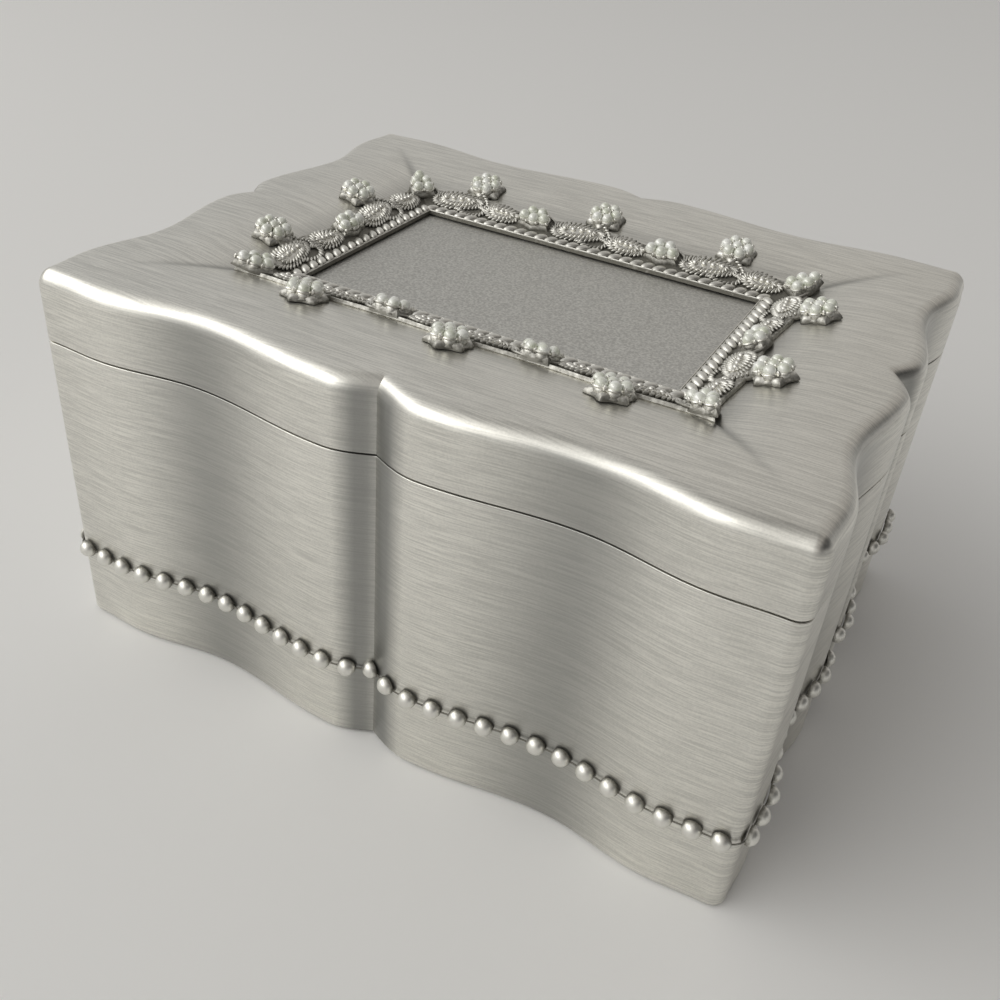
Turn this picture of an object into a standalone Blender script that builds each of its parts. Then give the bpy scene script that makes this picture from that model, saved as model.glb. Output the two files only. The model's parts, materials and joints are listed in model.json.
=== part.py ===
# Keepsake box: a cast pewter box with wavy sides, and a hinged lid that carries
# an oblong foliage frame with clusters of small pearls.
# Metres, +Z up. The origin is the middle of the felt foot, on the table. The
# front faces -Y, the hinges are at +Y, and the long sides run along X.

import math

import bmesh
import bpy
from mathutils import Matrix, Vector

MM = 0.001
GAP = 0.3 * MM                  # between two pieces that touch on the real box

# Body and lid, corner to corner
LENGTH = 133.0 * MM
DEPTH = 105.2 * MM
BODY_HEIGHT = 58.9 * MM         # from the bottom rim of the casting to the seam
LID_HEIGHT = 12.9 * MM          # from the seam to the top of the rim
CORNER_RADIUS = 2.6 * MM
INNER_CORNER = 0.6 * MM         # least radius of an inner corner
RIM_RADIUS = 3.2 * MM           # rounded top edge of the lid
EDGE_BREAK = 0.5 * MM           # bevel at the seam and at the bottom
WALL = 2.2 * MM
FLOOR = 2.0 * MM
ROOF = 2.0 * MM

# Wave of the walls: how far it stands out, and where, as shares of a half side
NOTCH_LONG = 2.0 * MM
NOTCH_SHORT = 2.2 * MM
VALLEY_LONG = 1.95 * MM
VALLEY_SHORT = 2.35 * MM
LOBE = 0.6 * MM
SHOULDER = 0.5 * MM
LOBE_AT = 0.13
VALLEY_AT = 0.53
SHOULDER_AT = 0.84

# Bead border round the body
BEAD_HEIGHT = 15.8 * MM
BEAD_RADIUS = 1.55 * MM
BEAD_PITCH = 4.63 * MM
BEAD_WIRE = 0.4 * MM            # radius of the wire between two beads
BEAD_SECTION = ((0.0, -1.0), (1.15, -0.6), (1.15, 0.6), (0.0, 1.0))    # out and up, in radii
BEAD_RINGS = (-90, -42, 0, 42, 90)      # degrees from the bead's middle, along the wire

# Foot pad and linings
FOOT_RIM = 3.0 * MM             # width of the casting's bottom rim
FOOT_RECESS = 1.2 * MM
FOOT_PROUD = 0.4 * MM           # the pad stands this far below the casting
LINING = 1.0 * MM
LINING_DROP = 1.5 * MM          # from the seam down to the lining's top edge
LINING_END = 1.0 * MM           # what a long lining card stays short of the corner
CUSHION = 2.6 * MM
CUSHION_ROUND = 1.3 * MM        # rounded edge of the cushion
CUSHION_CROWN = 1.2 * MM
CROWN_FOOT = 10.0 * MM          # from the walls to where the crown is nearly full
CROWN_FULLNESS = 0.75           # share of the crown that it has there
CROWN_FLAT = 26.0 * MM          # from the walls to the flat top
LID_CARD = 1.2 * MM

# Foliage frame: a rectangle of equal bays, measured along the line of its sprays
BAYS_LONG = 3
BAYS_SHORT = 2
MARGIN_ENDS = 23.1 * MM         # plain metal from the frame's outer edge to an end
MARGIN_SIDES = 23.4 * MM        # and to the front or the back
FRAME_OUT = 2.3 * MM            # from the line of sprays to the outer edge
FRAME_IN = 6.0 * MM             # from the line of sprays to the panel's edge
FRAME_EDGE = 0.5 * MM           # thickness of the outer edge
ROPE_BED = 2.4 * MM             # flat part of the frame under the rope
FILLET_WIDE = 0.6 * MM          # raised fillet beside the panel
FILLET_HIGH = 0.35 * MM
LIP = 1.5 * MM                  # the frame laps over the panel's pocket
LIP_THICK = 0.4 * MM
PANEL = 0.8 * MM
PANEL_DROP = 4.5 * MM           # from the rim's top to the panel's face

# Dished top of the lid
DISH_REACH = 14.0 * MM          # from the frame's outer edge to the flat rim
DISH_DROP = 2.2 * MM
DISH_RINGS = (1.0, 0.72, 0.48, 0.28, 0.12, 0.0)     # shares of the reach
ROOF_STEP = 0.7                 # inside, the flat roof ends at this share of the reach

# Rope border
ROPE_RADIUS = 0.75 * MM
ROPE_PITCH = 2.3 * MM
ROPE_SLANT = 0.45 * MM
ROPE_WAIST = 0.55               # height of the groove as a share of the crest
ROPE_SECTION = ((-1.0, 0.0), (-0.6, 1.2), (0.6, 1.2), (1.0, 0.0))      # out and up, in radii

# Leaves: length and place as shares of the bay, width, place across, turn in degrees
LEAF_HIGH = 0.75 * MM
BIG_LEAF = (0.40, 0.33, 4.3 * MM, -0.4 * MM, 8.0)
SMALL_LEAF = (0.28, 0.695, 4.0 * MM, -0.9 * MM, -6.0)
LEAF_RINGS = ((1.0, -0.35), (0.86, 1.0), (0.55, 0.5))   # size and height, as shares
LEAF_SIDES = 10
LEAF_TAPER = 0.35

# Pearl clusters
PEARL_RADIUS = 1.05 * MM
PEARL_RISE = 0.8 * MM           # from the cluster's plate to a pearl's middle
PEARL_STEP = 2.16 * MM
PEARL_SIDES = 5
PEARL_RINGS = (-20, 42)         # degrees above the pearl's middle
PLATE = 0.3 * MM
PLATE_MARGIN = 0.5 * MM         # a cluster's plate stays this far inside its setting
SETTING = 0.3 * MM
FLOWER_OUT = 6.0 * MM           # from the line of sprays to a flower's middle
FLOWER_RADIUS = 3.45 * MM
FLOWER_SHIFT = 1.2 * MM         # along the side, counter-clockwise seen from above
STEM_LAP = 1.2 * MM             # a flower's stem runs this far over the frame
CORNER_LIFT = 0.45 * MM         # a corner setting bridges the mitre this high
CORNER_SINK = 0.21 * MM         # and reaches this far down into it

# Hinges, in the valleys of the back wall
HINGE_LENGTH = 12.0 * MM
KNUCKLE_GAP = 0.3 * MM
CENTRE_KNUCKLE = 3.8 * MM
BARREL_RADIUS = 1.7 * MM
BARREL_SIDES = 12
PIN_RADIUS = 0.7 * MM
PIN_SIDES = 8
PIN_HEAD = 0.5 * MM
AXIS_CLEAR = 0.4 * MM           # from the lobes of the back wall to the axis
LEAF_PLATE = 0.8 * MM
LEAF_FREE = 1.35 * MM           # from the axis to the edge of a leaf's plate
LEAF_HEIGHT = 8.3 * MM          # from the axis to the far edge of a leaf
OPEN_ANGLE = 100.0              # degrees, where the stop meets the body's leaf
STOP_REACH = 2.1 * MM
STOP_THICK = 0.7 * MM

# Steps of a wavy outline from notch to lobe, valley, shoulder and corner
WALL_STEPS = (3, 5, 4, 2)
LINING_STEPS = (3, 4, 3, 2)
PAD_STEPS = (2, 3, 3, 1)
FINE_STEPS = (8, 12, 10, 6)

# Heights that follow
CASTING_Z = FOOT_PROUD
FLOOR_Z = CASTING_Z + FOOT_RECESS + FLOOR
SEAM_Z = CASTING_Z + BODY_HEIGHT
LID_Z = SEAM_Z + GAP
TOP_Z = SEAM_Z + LID_HEIGHT
PANEL_Z = TOP_Z - PANEL_DROP
POCKET_Z = PANEL_Z - PANEL - GAP
LIP_Z = PANEL_Z + GAP
BED_Z = LIP_Z + LIP_THICK
EDGE_Z = TOP_Z - DISH_DROP + GAP + FRAME_EDGE

# Half sizes that follow: the line of sprays, and the panel's visible edge
SPRAY_X = LENGTH / 2 - MARGIN_ENDS - FRAME_OUT
SPRAY_Y = DEPTH / 2 - MARGIN_SIDES - FRAME_OUT
BAY_LONG = 2 * SPRAY_X / BAYS_LONG
BAY_SHORT = 2 * SPRAY_Y / BAYS_SHORT
PANEL_X = SPRAY_X - FRAME_IN
PANEL_Y = SPRAY_Y - FRAME_IN
BAND = FRAME_IN + FRAME_OUT


def principled(name, colour, roughness, metallic):
    material = bpy.data.materials.new(name)
    material.use_nodes = True
    shader = material.node_tree.nodes["Principled BSDF"]
    shader.inputs["Base Color"].default_value = (*colour, 1.0)
    shader.inputs["Roughness"].default_value = roughness
    shader.inputs["Metallic"].default_value = metallic
    material.diffuse_color = (*colour, 1.0)
    return material


def add_object(name, bm, material, smooth_angle=35.0):
    """Turn a closed bmesh into a named object with smooth curved faces."""
    bmesh.ops.recalc_face_normals(bm, faces=bm.faces)
    mesh = bpy.data.meshes.new(name)
    bm.to_mesh(mesh)
    bm.free()
    mesh.materials.append(material)
    mesh.shade_smooth()
    mesh.set_sharp_from_angle(angle=math.radians(smooth_angle))
    obj = bpy.data.objects.new(name, mesh)
    bpy.context.scene.collection.objects.link(obj)
    return obj


def combine(target, tool, operation):
    """Apply an exact Boolean to the target and delete the tool."""
    modifier = target.modifiers.new(operation.title(), "BOOLEAN")
    modifier.operation = operation
    modifier.solver = "EXACT"
    modifier.object = tool
    graph = bpy.context.evaluated_depsgraph_get()
    result = bpy.data.meshes.new_from_object(target.evaluated_get(graph))
    target.modifiers.clear()
    old = target.data
    target.data = result
    result.name = target.name
    bpy.data.meshes.remove(old)
    bpy.data.objects.remove(tool)


def place_copies(first, places):
    """Put a piece in the first place, and copies that share its mesh in the others."""
    copies = []
    for k, place in enumerate(places):
        copy = first if k == 0 else bpy.data.objects.new(first.name, first.data)
        if k > 0:
            bpy.context.scene.collection.objects.link(copy)
        copy.matrix_world = place
        copies.append(copy)
    stem = first.name
    for k, copy in enumerate(copies):
        copy.name = f"{stem}_{k + 1:02d}"
    return copies


def hang_on(pivot, pieces):
    """Parent pieces to an empty on their joint's axis, and leave them where they are."""
    back = Matrix.Translation(pivot.location).inverted()
    for piece in pieces:
        piece.parent = pivot
        piece.matrix_parent_inverse = back


# Wavy outline

def ease(start, end, share):
    return start + (end - start) * (1 - math.cos(math.pi * share)) / 2


def wave(share, notch, valley):
    """How far the wall stands out at a share of the half side."""
    share = abs(share)
    if share < LOBE_AT:
        return (notch + LOBE) * math.sin(math.pi / 2 * share / LOBE_AT) - notch
    if share < VALLEY_AT:
        return ease(LOBE, -valley, (share - LOBE_AT) / (VALLEY_AT - LOBE_AT))
    if share < SHOULDER_AT:
        return ease(-valley, SHOULDER, (share - VALLEY_AT) / (SHOULDER_AT - VALLEY_AT))
    return ease(SHOULDER, 0.0, (share - SHOULDER_AT) / (1 - SHOULDER_AT))


def side_shares(steps):
    """Shares from -1 to 1 with the same steps on both halves of a side."""
    stations = (0.0, LOBE_AT, VALLEY_AT, SHOULDER_AT, 1.0)
    half = [0.0]
    for start, end, count in zip(stations, stations[1:], steps):
        half += [start + (end - start) * (k + 1) / count for k in range(count)]
    return [-share for share in reversed(half[1:])] + half


def side_sizes(side):
    """Half length, reach, notch and valley of side 0 front, 1 right, 2 back, 3 left."""
    if side % 2 == 0:
        return LENGTH / 2, DEPTH / 2, NOTCH_LONG, VALLEY_LONG
    return DEPTH / 2, LENGTH / 2, NOTCH_SHORT, VALLEY_SHORT


def turn(side, along, out):
    """Take a point measured along and out from a side to the box's X and Y."""
    return ((along, -out), (out, along), (-along, out), (-out, -along))[side]


def wall_face(side, along, inset=0.0):
    """How far out a wall's face lies at a distance along its side."""
    half, reach, notch, valley = side_sizes(side)
    run = half - inset - max(CORNER_RADIUS - inset, INNER_CORNER)
    return reach - inset + wave(min(abs(along) / run, 1.0), notch, valley)


def side_path(side, inset, steps, corner_steps=2):
    """Points of one side, from the middle of a corner to the next corner's."""
    half, reach, notch, valley = side_sizes(side)
    radius = max(CORNER_RADIUS - inset, INNER_CORNER)
    run = half - inset - radius
    base = reach - inset - radius
    path = []
    for k in range(corner_steps):
        angle = math.pi / 4 * (1 - k / corner_steps)
        path.append((-run - radius * math.sin(angle), base + radius * math.cos(angle)))
    for share in side_shares(steps):
        path.append((share * run, base + radius + wave(share, notch, valley)))
    for k in range(corner_steps):
        angle = math.pi / 4 * (k + 1) / corner_steps
        path.append((run + radius * math.sin(angle), base + radius * math.cos(angle)))
    return path


def outline(inset, steps=WALL_STEPS):
    """The wavy outline, counter-clockwise from the front left corner."""
    points = []
    for side in range(4):
        points += [turn(side, *point) for point in side_path(side, inset, steps)[:-1]]
    return points


def level(points, z):
    return [(x, y, z) for x, y in points]


def oblong(half_x, half_y, z):
    return [(-half_x, -half_y, z), (half_x, -half_y, z), (half_x, half_y, z), (-half_x, half_y, z)]


# Solids from rings

def add_strip(bm, low, high):
    count = len(low)
    for k in range(count):
        bm.faces.new((low[k], low[(k + 1) % count], high[(k + 1) % count], high[k]))


def add_loops(bm, rings):
    """Skin rings of points in order and return their loops of vertices."""
    loops = [[bm.verts.new(point) for point in ring] for ring in rings]
    for low, high in zip(loops, loops[1:]):
        add_strip(bm, low, high)
    return loops


def loft(name, rings, material):
    """A closed solid over rings, with a cap on the first and the last."""
    bm = bmesh.new()
    loops = add_loops(bm, rings)
    bm.faces.new(loops[0])
    bm.faces.new(loops[-1])
    return add_object(name, bm, material)


def closed_sweep(name, sections, material):
    """A ring-shaped solid through closed sections that come back to the first."""
    bm = bmesh.new()
    loops = add_loops(bm, sections)
    add_strip(bm, loops[-1], loops[0])
    return add_object(name, bm, material)


def fill_between(bm, outer, inner):
    """Flat face between an outer loop and an oblong hole inside it."""
    edges = []
    for loop in (outer, inner):
        for k, vert in enumerate(loop):
            after = loop[(k + 1) % len(loop)]
            edges.append(bm.edges.get((vert, after)) or bm.edges.new((vert, after)))
    bmesh.ops.triangle_fill(bm, use_beauty=True, use_dissolve=False, edges=edges)


# Base

def make_base_shell(pewter):
    """Walls, floor and foot rim in one casting, with a broken edge at the seam."""
    rings = [
        level(outline(FOOT_RIM), CASTING_Z + FOOT_RECESS),
        level(outline(FOOT_RIM), CASTING_Z),
        level(outline(EDGE_BREAK), CASTING_Z),
        level(outline(0.0), CASTING_Z + EDGE_BREAK),
        level(outline(0.0), SEAM_Z - EDGE_BREAK),
        level(outline(EDGE_BREAK), SEAM_Z),
        level(outline(WALL), SEAM_Z),
        level(outline(WALL), FLOOR_Z),
    ]
    return loft("base_shell", rings, pewter)


def make_foot_pad(felt):
    inset = FOOT_RIM + GAP
    rings = [
        level(outline(inset, PAD_STEPS), 0.0),
        level(outline(inset, PAD_STEPS), CASTING_Z + FOOT_RECESS - GAP),
    ]
    return loft("foot_pad", rings, felt)


def place_on_path(path, distance):
    """Point and unit normal at a distance along a path of one side."""
    for (x0, y0), (x1, y1) in zip(path, path[1:]):
        length = math.hypot(x1 - x0, y1 - y0)
        if distance <= length:
            break
        distance -= length
    share = min(distance / length, 1.0)
    point = (x0 + (x1 - x0) * share, y0 + (y1 - y0) * share)
    return point, ((y0 - y1) / length, (x1 - x0) / length)


def make_bead_border(pewter):
    """Beads on a wire, flat against the wall, an odd count on each side."""
    sections = []
    for side in range(4):
        path = side_path(side, 0.0, FINE_STEPS, corner_steps=4)
        total = sum(math.dist(a, b) for a, b in zip(path, path[1:]))
        count = 2 * round(total / BEAD_PITCH / 2 - 0.5) + 1
        pitch = total / count
        for bead in range(count):
            for share, radius in bead_profile(pitch):
                point, normal = place_on_path(path, (bead + share) * pitch)
                sections.append(bead_section(side, point, normal, radius))
    return closed_sweep("bead_border", sections, pewter)


def bead_profile(pitch):
    """Shares of the pitch and radii: wire, the bead's round half by half, wire again."""
    reach = math.sqrt(BEAD_RADIUS ** 2 - BEAD_WIRE ** 2)
    for degrees in BEAD_RINGS:
        angle = math.radians(degrees)
        along = reach * math.sin(angle)
        yield 0.5 + along / pitch, math.sqrt(BEAD_RADIUS ** 2 - along ** 2)


def bead_section(side, point, normal, radius):
    """Four-cornered half round that stands on the wall."""
    section = []
    for out, up in BEAD_SECTION:
        reach = GAP + out * radius
        x, y = turn(side, point[0] + normal[0] * reach, point[1] + normal[1] * reach)
        section.append((x, y, CASTING_Z + BEAD_HEIGHT + up * radius))
    return section


def make_linings(velvet):
    """Four velvet cards that follow the walls; the short ones fit between the long."""
    outer = WALL + GAP
    for side, name in enumerate(("front", "right", "back", "left")):
        half = side_sizes(side)[0]
        end = half - outer - LINING_END
        if side % 2:
            end = half - outer - LINING - GAP
        spots = [share * end for share in side_shares(LINING_STEPS)]
        face = [turn(side, along, wall_face(side, along, outer)) for along in spots]
        back = [turn(side, along, wall_face(side, along, outer) - LINING) for along in spots]
        points = face + back[::-1]
        rings = [level(points, FLOOR_Z + GAP), level(points, SEAM_Z - LINING_DROP)]
        loft("lining_" + name, rings, velvet)


def make_floor_cushion(velvet):
    """Crowned velvet cushion on the floor, inside the wall linings."""
    inset = WALL + GAP + LINING + GAP
    base = FLOOR_Z + GAP
    shoulder = base + CUSHION
    rings = [
        level(outline(inset + CUSHION_ROUND / 2, PAD_STEPS), base),
        level(outline(inset, PAD_STEPS), base + CUSHION / 2),
        level(outline(inset + CUSHION_ROUND, PAD_STEPS), shoulder),
        level(outline(inset + CROWN_FOOT, PAD_STEPS), shoulder + CROWN_FULLNESS * CUSHION_CROWN),
        level(outline(inset + CROWN_FLAT, PAD_STEPS), shoulder + CUSHION_CROWN),
    ]
    return loft("floor_cushion", rings, velvet)


# Lid

def dish_height(distance):
    """Height of the lid's top at a distance outside the frame's outer edge."""
    share = max(0.0, 1 - distance / DISH_REACH)
    return TOP_Z - DISH_DROP * share ** 2


def dish_slope(distance):
    return 2 * DISH_DROP / DISH_REACH * max(0.0, 1 - distance / DISH_REACH)


def band_height(width):
    """Height of the frame's face at a distance outside the panel's edge."""
    share = (width - ROPE_BED) / (BAND - ROPE_BED)
    return BED_Z + (EDGE_Z - BED_Z) * max(0.0, share)


def make_lid_shell(pewter):
    """Lid with a rounded rim, a dished top and stepped seats for frame and panel."""
    bm = bmesh.new()
    rim = []
    for k in range(4):
        angle = math.radians(30 * k)
        inset = RIM_RADIUS * (1 - math.cos(angle))
        rim.append(level(outline(inset), TOP_Z - RIM_RADIUS * (1 - math.sin(angle))))
    walls = add_loops(bm, [
        level(outline(WALL), TOP_Z - ROOF),
        level(outline(WALL), LID_Z),
        level(outline(EDGE_BREAK), LID_Z),
        level(outline(0.0), LID_Z + EDGE_BREAK),
        *rim,
    ])
    dish = []
    for share in DISH_RINGS:
        width = BAND + share * DISH_REACH
        height = dish_height(share * DISH_REACH)
        dish.append(oblong(PANEL_X + width, PANEL_Y + width, height))
    seat = LIP_Z - GAP
    slope_foot = ROPE_BED + FILLET_WIDE
    top = add_loops(bm, dish + [
        oblong(PANEL_X + slope_foot, PANEL_Y + slope_foot, seat),
        oblong(PANEL_X + LIP, PANEL_Y + LIP, seat),
        oblong(PANEL_X + LIP, PANEL_Y + LIP, POCKET_Z),
    ])
    bm.faces.new(top[-1])
    step = BAND + ROOF_STEP * DISH_REACH
    under = add_loops(bm, [
        oblong(PANEL_X + step, PANEL_Y + step, TOP_Z - ROOF),
        oblong(PANEL_X + LIP + ROOF, PANEL_Y + LIP + ROOF, POCKET_Z - ROOF),
    ])
    bm.faces.new(under[-1])
    fill_between(bm, walls[-1], top[0])
    fill_between(bm, walls[0], under[0])
    return add_object("lid_shell", bm, pewter, smooth_angle=20.0)


def make_top_panel(panel_metal):
    edge = LIP - GAP
    rings = [oblong(PANEL_X + edge, PANEL_Y + edge, PANEL_Z - PANEL),
             oblong(PANEL_X + edge, PANEL_Y + edge, PANEL_Z)]
    return loft("top_panel", rings, panel_metal)


def make_rope_trim(pewter):
    """Twisted rope on the frame's bed: crests and grooves, slanted along the run.

    The crest beside a mitre stands square, because a slanted one would cross the mitre.
    """
    middle = (ROPE_BED + FILLET_WIDE) / 2
    half_x = PANEL_X + middle
    half_y = PANEL_Y + middle
    base = BED_Z + GAP
    sections = []
    for side in range(4):
        half, reach = (half_x, half_y) if side % 2 == 0 else (half_y, half_x)
        count = round(2 * half / ROPE_PITCH)
        for k in range(2 * count):
            along = -half + half * k / count
            crest = ROPE_RADIUS * (1.0 if k % 2 else ROPE_WAIST)
            corner = k == 0
            slant = 0.0 if k < 2 else ROPE_SLANT
            section = []
            for out, up in ROPE_SECTION:
                shift = -out * ROPE_RADIUS if corner else out * slant
                point = turn(side, along + shift, reach + out * ROPE_RADIUS)
                section.append((*point, base + up * crest))
            sections.append(section)
    return closed_sweep("rope_trim", sections, pewter)


def add_prism(bm, points, bottom, top, place):
    """Flat plate over an outline in its own plane, set in place by a matrix."""
    loops = add_loops(bm, [[place @ Vector((x, y, bottom)) for x, y in points],
                           [place @ Vector((x, y, top)) for x, y in points]])
    bm.faces.new(loops[0])
    bm.faces.new(loops[1])


def band_place(side, along, width, lift, slope, diagonal=False):
    """Matrix of a spot on a side: X along it, Y outwards up the slope, Z off the surface."""
    reach = (PANEL_Y if side % 2 == 0 else PANEL_X) + width
    x, y = turn(side, along, reach)
    heading = side * math.pi / 2 + math.pi
    if diagonal:
        heading += math.pi / 4
    return (Matrix.Translation((x, y, lift)) @ Matrix.Rotation(heading, 4, "Z")
            @ Matrix.Rotation(math.atan(slope), 4, "X"))


def flower_places():
    """Places of the flowers: one outside each bay of the frame."""
    distance = FLOWER_OUT - FRAME_OUT
    for side in range(4):
        bays, bay = (BAYS_LONG, BAY_LONG) if side % 2 == 0 else (BAYS_SHORT, BAY_SHORT)
        for k in range(bays):
            along = (k - (bays - 1) / 2) * bay + FLOWER_SHIFT
            yield band_place(side, along, BAND + distance, dish_height(distance),
                             dish_slope(distance))


def spray_places():
    """Places of the sprays: between two bays, on the frame's band."""
    slope = (EDGE_Z - BED_Z) / (BAND - ROPE_BED)
    for side in range(4):
        bays, bay = (BAYS_LONG, BAY_LONG) if side % 2 == 0 else (BAYS_SHORT, BAY_SHORT)
        for k in range(1, bays):
            along = (k - bays / 2) * bay
            yield band_place(side, along, FRAME_IN, band_height(FRAME_IN), slope)


def corner_places():
    """Places of the corner clusters: on the frame's mitres, facing outwards."""
    slope = (EDGE_Z - BED_Z) / (BAND - ROPE_BED) / math.sqrt(2)
    for side in range(4):
        half = SPRAY_X if side % 2 == 0 else SPRAY_Y
        yield band_place(side, half, FRAME_IN, band_height(FRAME_IN) + CORNER_LIFT, slope, True)


def round_points(radius, count):
    return [(radius * math.cos(math.tau * k / count), radius * math.sin(math.tau * k / count))
            for k in range(count)]


def flower_setting():
    """Round setting whose two inner corners run on as a stem over the frame."""
    stem = FLOWER_OUT - FRAME_OUT + STEM_LAP
    points = []
    for k in range(12):
        angle = math.tau * (k + 0.5) / 12 - math.pi / 2
        x = FLOWER_RADIUS * math.cos(angle)
        y = FLOWER_RADIUS * math.sin(angle)
        points.append((x, y))
    points[0] = (points[0][0], -stem)
    points[-1] = (points[-1][0], -stem)
    return points


SPRAY_SETTING = ((-3.3, -1.9), (0.0, -2.9), (3.3, -1.9), (2.6, 1.6), (0.0, 2.2), (-2.6, 1.6))
CORNER_SETTING = ((-2.4, -2.9), (2.4, -2.9), (2.4, 0.6), (0.0, 3.6), (-2.4, 0.6))


def in_metres(points):
    return [(x * MM, y * MM) for x, y in points]


def leaf_rings(length, width):
    """Rings of an almond leaf: sunk foot, raised rim and dished middle."""
    for scale, height in LEAF_RINGS:
        ring = []
        for k in range(LEAF_SIDES):
            angle = math.tau * k / LEAF_SIDES
            taper = 1 - LEAF_TAPER * math.cos(angle)
            ring.append((scale * length / 2 * math.cos(angle),
                         scale * width / 2 * math.sin(angle) * taper, height * LEAF_HIGH))
        yield ring


def add_leaf(bm, place, length, width, degrees):
    matrix = place @ Matrix.Rotation(math.radians(degrees), 4, "Z")
    loops = add_loops(bm, [[matrix @ Vector(point) for point in ring]
                           for ring in leaf_rings(length, width)])
    bm.faces.new(loops[0])
    bm.faces.new(loops[-1])


def make_ornament_frame(pewter):
    """Cast band with two leaves in each bay and a setting for each cluster."""
    section = [(0.0, LIP_Z), (0.0, BED_Z + FILLET_HIGH), (FILLET_WIDE, BED_Z + FILLET_HIGH),
               (FILLET_WIDE, BED_Z), (ROPE_BED, BED_Z), (BAND, EDGE_Z),
               (BAND, EDGE_Z - FRAME_EDGE), (ROPE_BED + FILLET_WIDE, LIP_Z)]
    rings = [oblong(PANEL_X + width, PANEL_Y + width, height) for width, height in section]
    frame = closed_sweep("ornament_frame", rings, pewter)

    leaves = bmesh.new()
    slope = (EDGE_Z - BED_Z) / (BAND - ROPE_BED)
    for side in range(4):
        bays, bay = (BAYS_LONG, BAY_LONG) if side % 2 == 0 else (BAYS_SHORT, BAY_SHORT)
        for k in range(bays):
            for long_share, at_share, broad, across, degrees in (BIG_LEAF, SMALL_LEAF):
                along = (bays / 2 - k - at_share) * bay
                width = FRAME_IN + across
                place = band_place(side, along, width, band_height(width), slope)
                add_leaf(leaves, place, long_share * bay, broad, degrees)
    combine(frame, add_object("leaves", leaves, pewter), "UNION")

    settings = bmesh.new()
    for place in flower_places():
        add_prism(settings, flower_setting(), GAP, GAP + SETTING, place)
    for place in spray_places():
        add_prism(settings, in_metres(SPRAY_SETTING), -SETTING, SETTING, place)
    for place in corner_places():
        add_prism(settings, in_metres(CORNER_SETTING), -CORNER_SINK, SETTING, place)
    combine(frame, add_object("settings", settings, pewter), "UNION")
    return frame


# Pearls

FLOWER_PEARLS = [(0.0, 0.0)] + round_points(PEARL_STEP, 6)
SPRAY_PEARLS = [(-PEARL_STEP, -0.7 * MM), (0.0, -1.1 * MM), (PEARL_STEP, -0.7 * MM),
                (-PEARL_STEP / 2, 0.87 * MM), (PEARL_STEP / 2, 0.87 * MM)]
CORNER_PEARLS = [(-PEARL_STEP / 2, -1.65 * MM), (PEARL_STEP / 2, -1.65 * MM),
                 (-PEARL_STEP / 2, 0.5 * MM), (PEARL_STEP / 2, 0.5 * MM), (0.0, 2.4 * MM)]


def add_pearl(bm, x, y, height):
    """Plain pearl: a point at the bottom, two rings and a point at the top."""
    rings = []
    for degrees in PEARL_RINGS:
        radius = PEARL_RADIUS * math.cos(math.radians(degrees))
        z = height + PEARL_RADIUS * math.sin(math.radians(degrees))
        rings.append([(x + px, y + py, z) for px, py in round_points(radius, PEARL_SIDES)])
    loops = add_loops(bm, rings)
    for loop, z in ((loops[0], height - PEARL_RADIUS), (loops[-1], height + PEARL_RADIUS)):
        tip = bm.verts.new((x, y, z))
        for k, vert in enumerate(loop):
            bm.faces.new((vert, loop[(k + 1) % PEARL_SIDES], tip))


def make_clusters(name, places, plate_points, pearls, seat, pearl_white):
    """Pearls on a thin plate that lies in its setting, once in each place."""
    bm = bmesh.new()
    add_prism(bm, plate_points, seat, seat + PLATE, Matrix.Identity(4))
    first = add_object(name, bm, pearl_white, smooth_angle=60.0)
    bm = bmesh.new()
    for x, y in pearls:
        add_pearl(bm, x, y, seat + PLATE + PEARL_RISE)
    combine(first, add_object("pearls", bm, pearl_white, smooth_angle=60.0), "UNION")
    return place_copies(first, places)


def shrink(points, margin):
    """Points drawn in towards the origin by about a margin."""
    drawn = []
    for x, y in points:
        length = math.hypot(x, y)
        drawn.append((x * (1 - margin / length), y * (1 - margin / length)))
    return drawn


def make_all_clusters(pearl_white):
    """Flowers in their round settings, sprays and corner clusters on the frame."""
    seat = SETTING + GAP
    flower_plate = round_points(FLOWER_RADIUS - PLATE_MARGIN, 8)
    spray_plate = shrink(in_metres(SPRAY_SETTING), PLATE_MARGIN)
    corner_plate = shrink(in_metres(CORNER_SETTING), PLATE_MARGIN)
    return (
        make_clusters("flower", flower_places(), flower_plate, FLOWER_PEARLS,
                      GAP + seat, pearl_white)
        + make_clusters("spray", spray_places(), spray_plate, SPRAY_PEARLS, seat, pearl_white)
        + make_clusters("corner_cluster", corner_places(), corner_plate, CORNER_PEARLS,
                        seat, pearl_white))


def make_lid_lining(velvet):
    """Velvet card pressed into the lid under the roof."""
    inset = WALL + GAP
    top = POCKET_Z - ROOF - GAP
    soft = LID_CARD / 2
    rings = [
        level(outline(inset, PAD_STEPS), top),
        level(outline(inset, PAD_STEPS), top - soft),
        level(outline(inset + soft, PAD_STEPS), top - LID_CARD),
    ]
    return loft("lid_lining", rings, velvet)


# Hinges

AXIS_Y = DEPTH / 2 + LOBE + AXIS_CLEAR
AXIS_Z = SEAM_Z + GAP / 2
HINGE_X = VALLEY_AT * (LENGTH / 2 - CORNER_RADIUS)


def leaf_seat():
    """Y of a leaf's back face, clear of the wavy wall over the leaf's length."""
    edge = HINGE_LENGTH / 2
    return GAP + max(wall_face(2, HINGE_X + shift) for shift in (-edge, 0.0, edge))


def make_box(name, low, high, material):
    bm = bmesh.new()
    bmesh.ops.create_cube(bm, size=1.0)
    size = Vector(high) - Vector(low)
    middle = (Vector(high) + Vector(low)) / 2
    bmesh.ops.scale(bm, vec=size, verts=bm.verts)
    bmesh.ops.translate(bm, vec=middle, verts=bm.verts)
    return add_object(name, bm, material)


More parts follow.
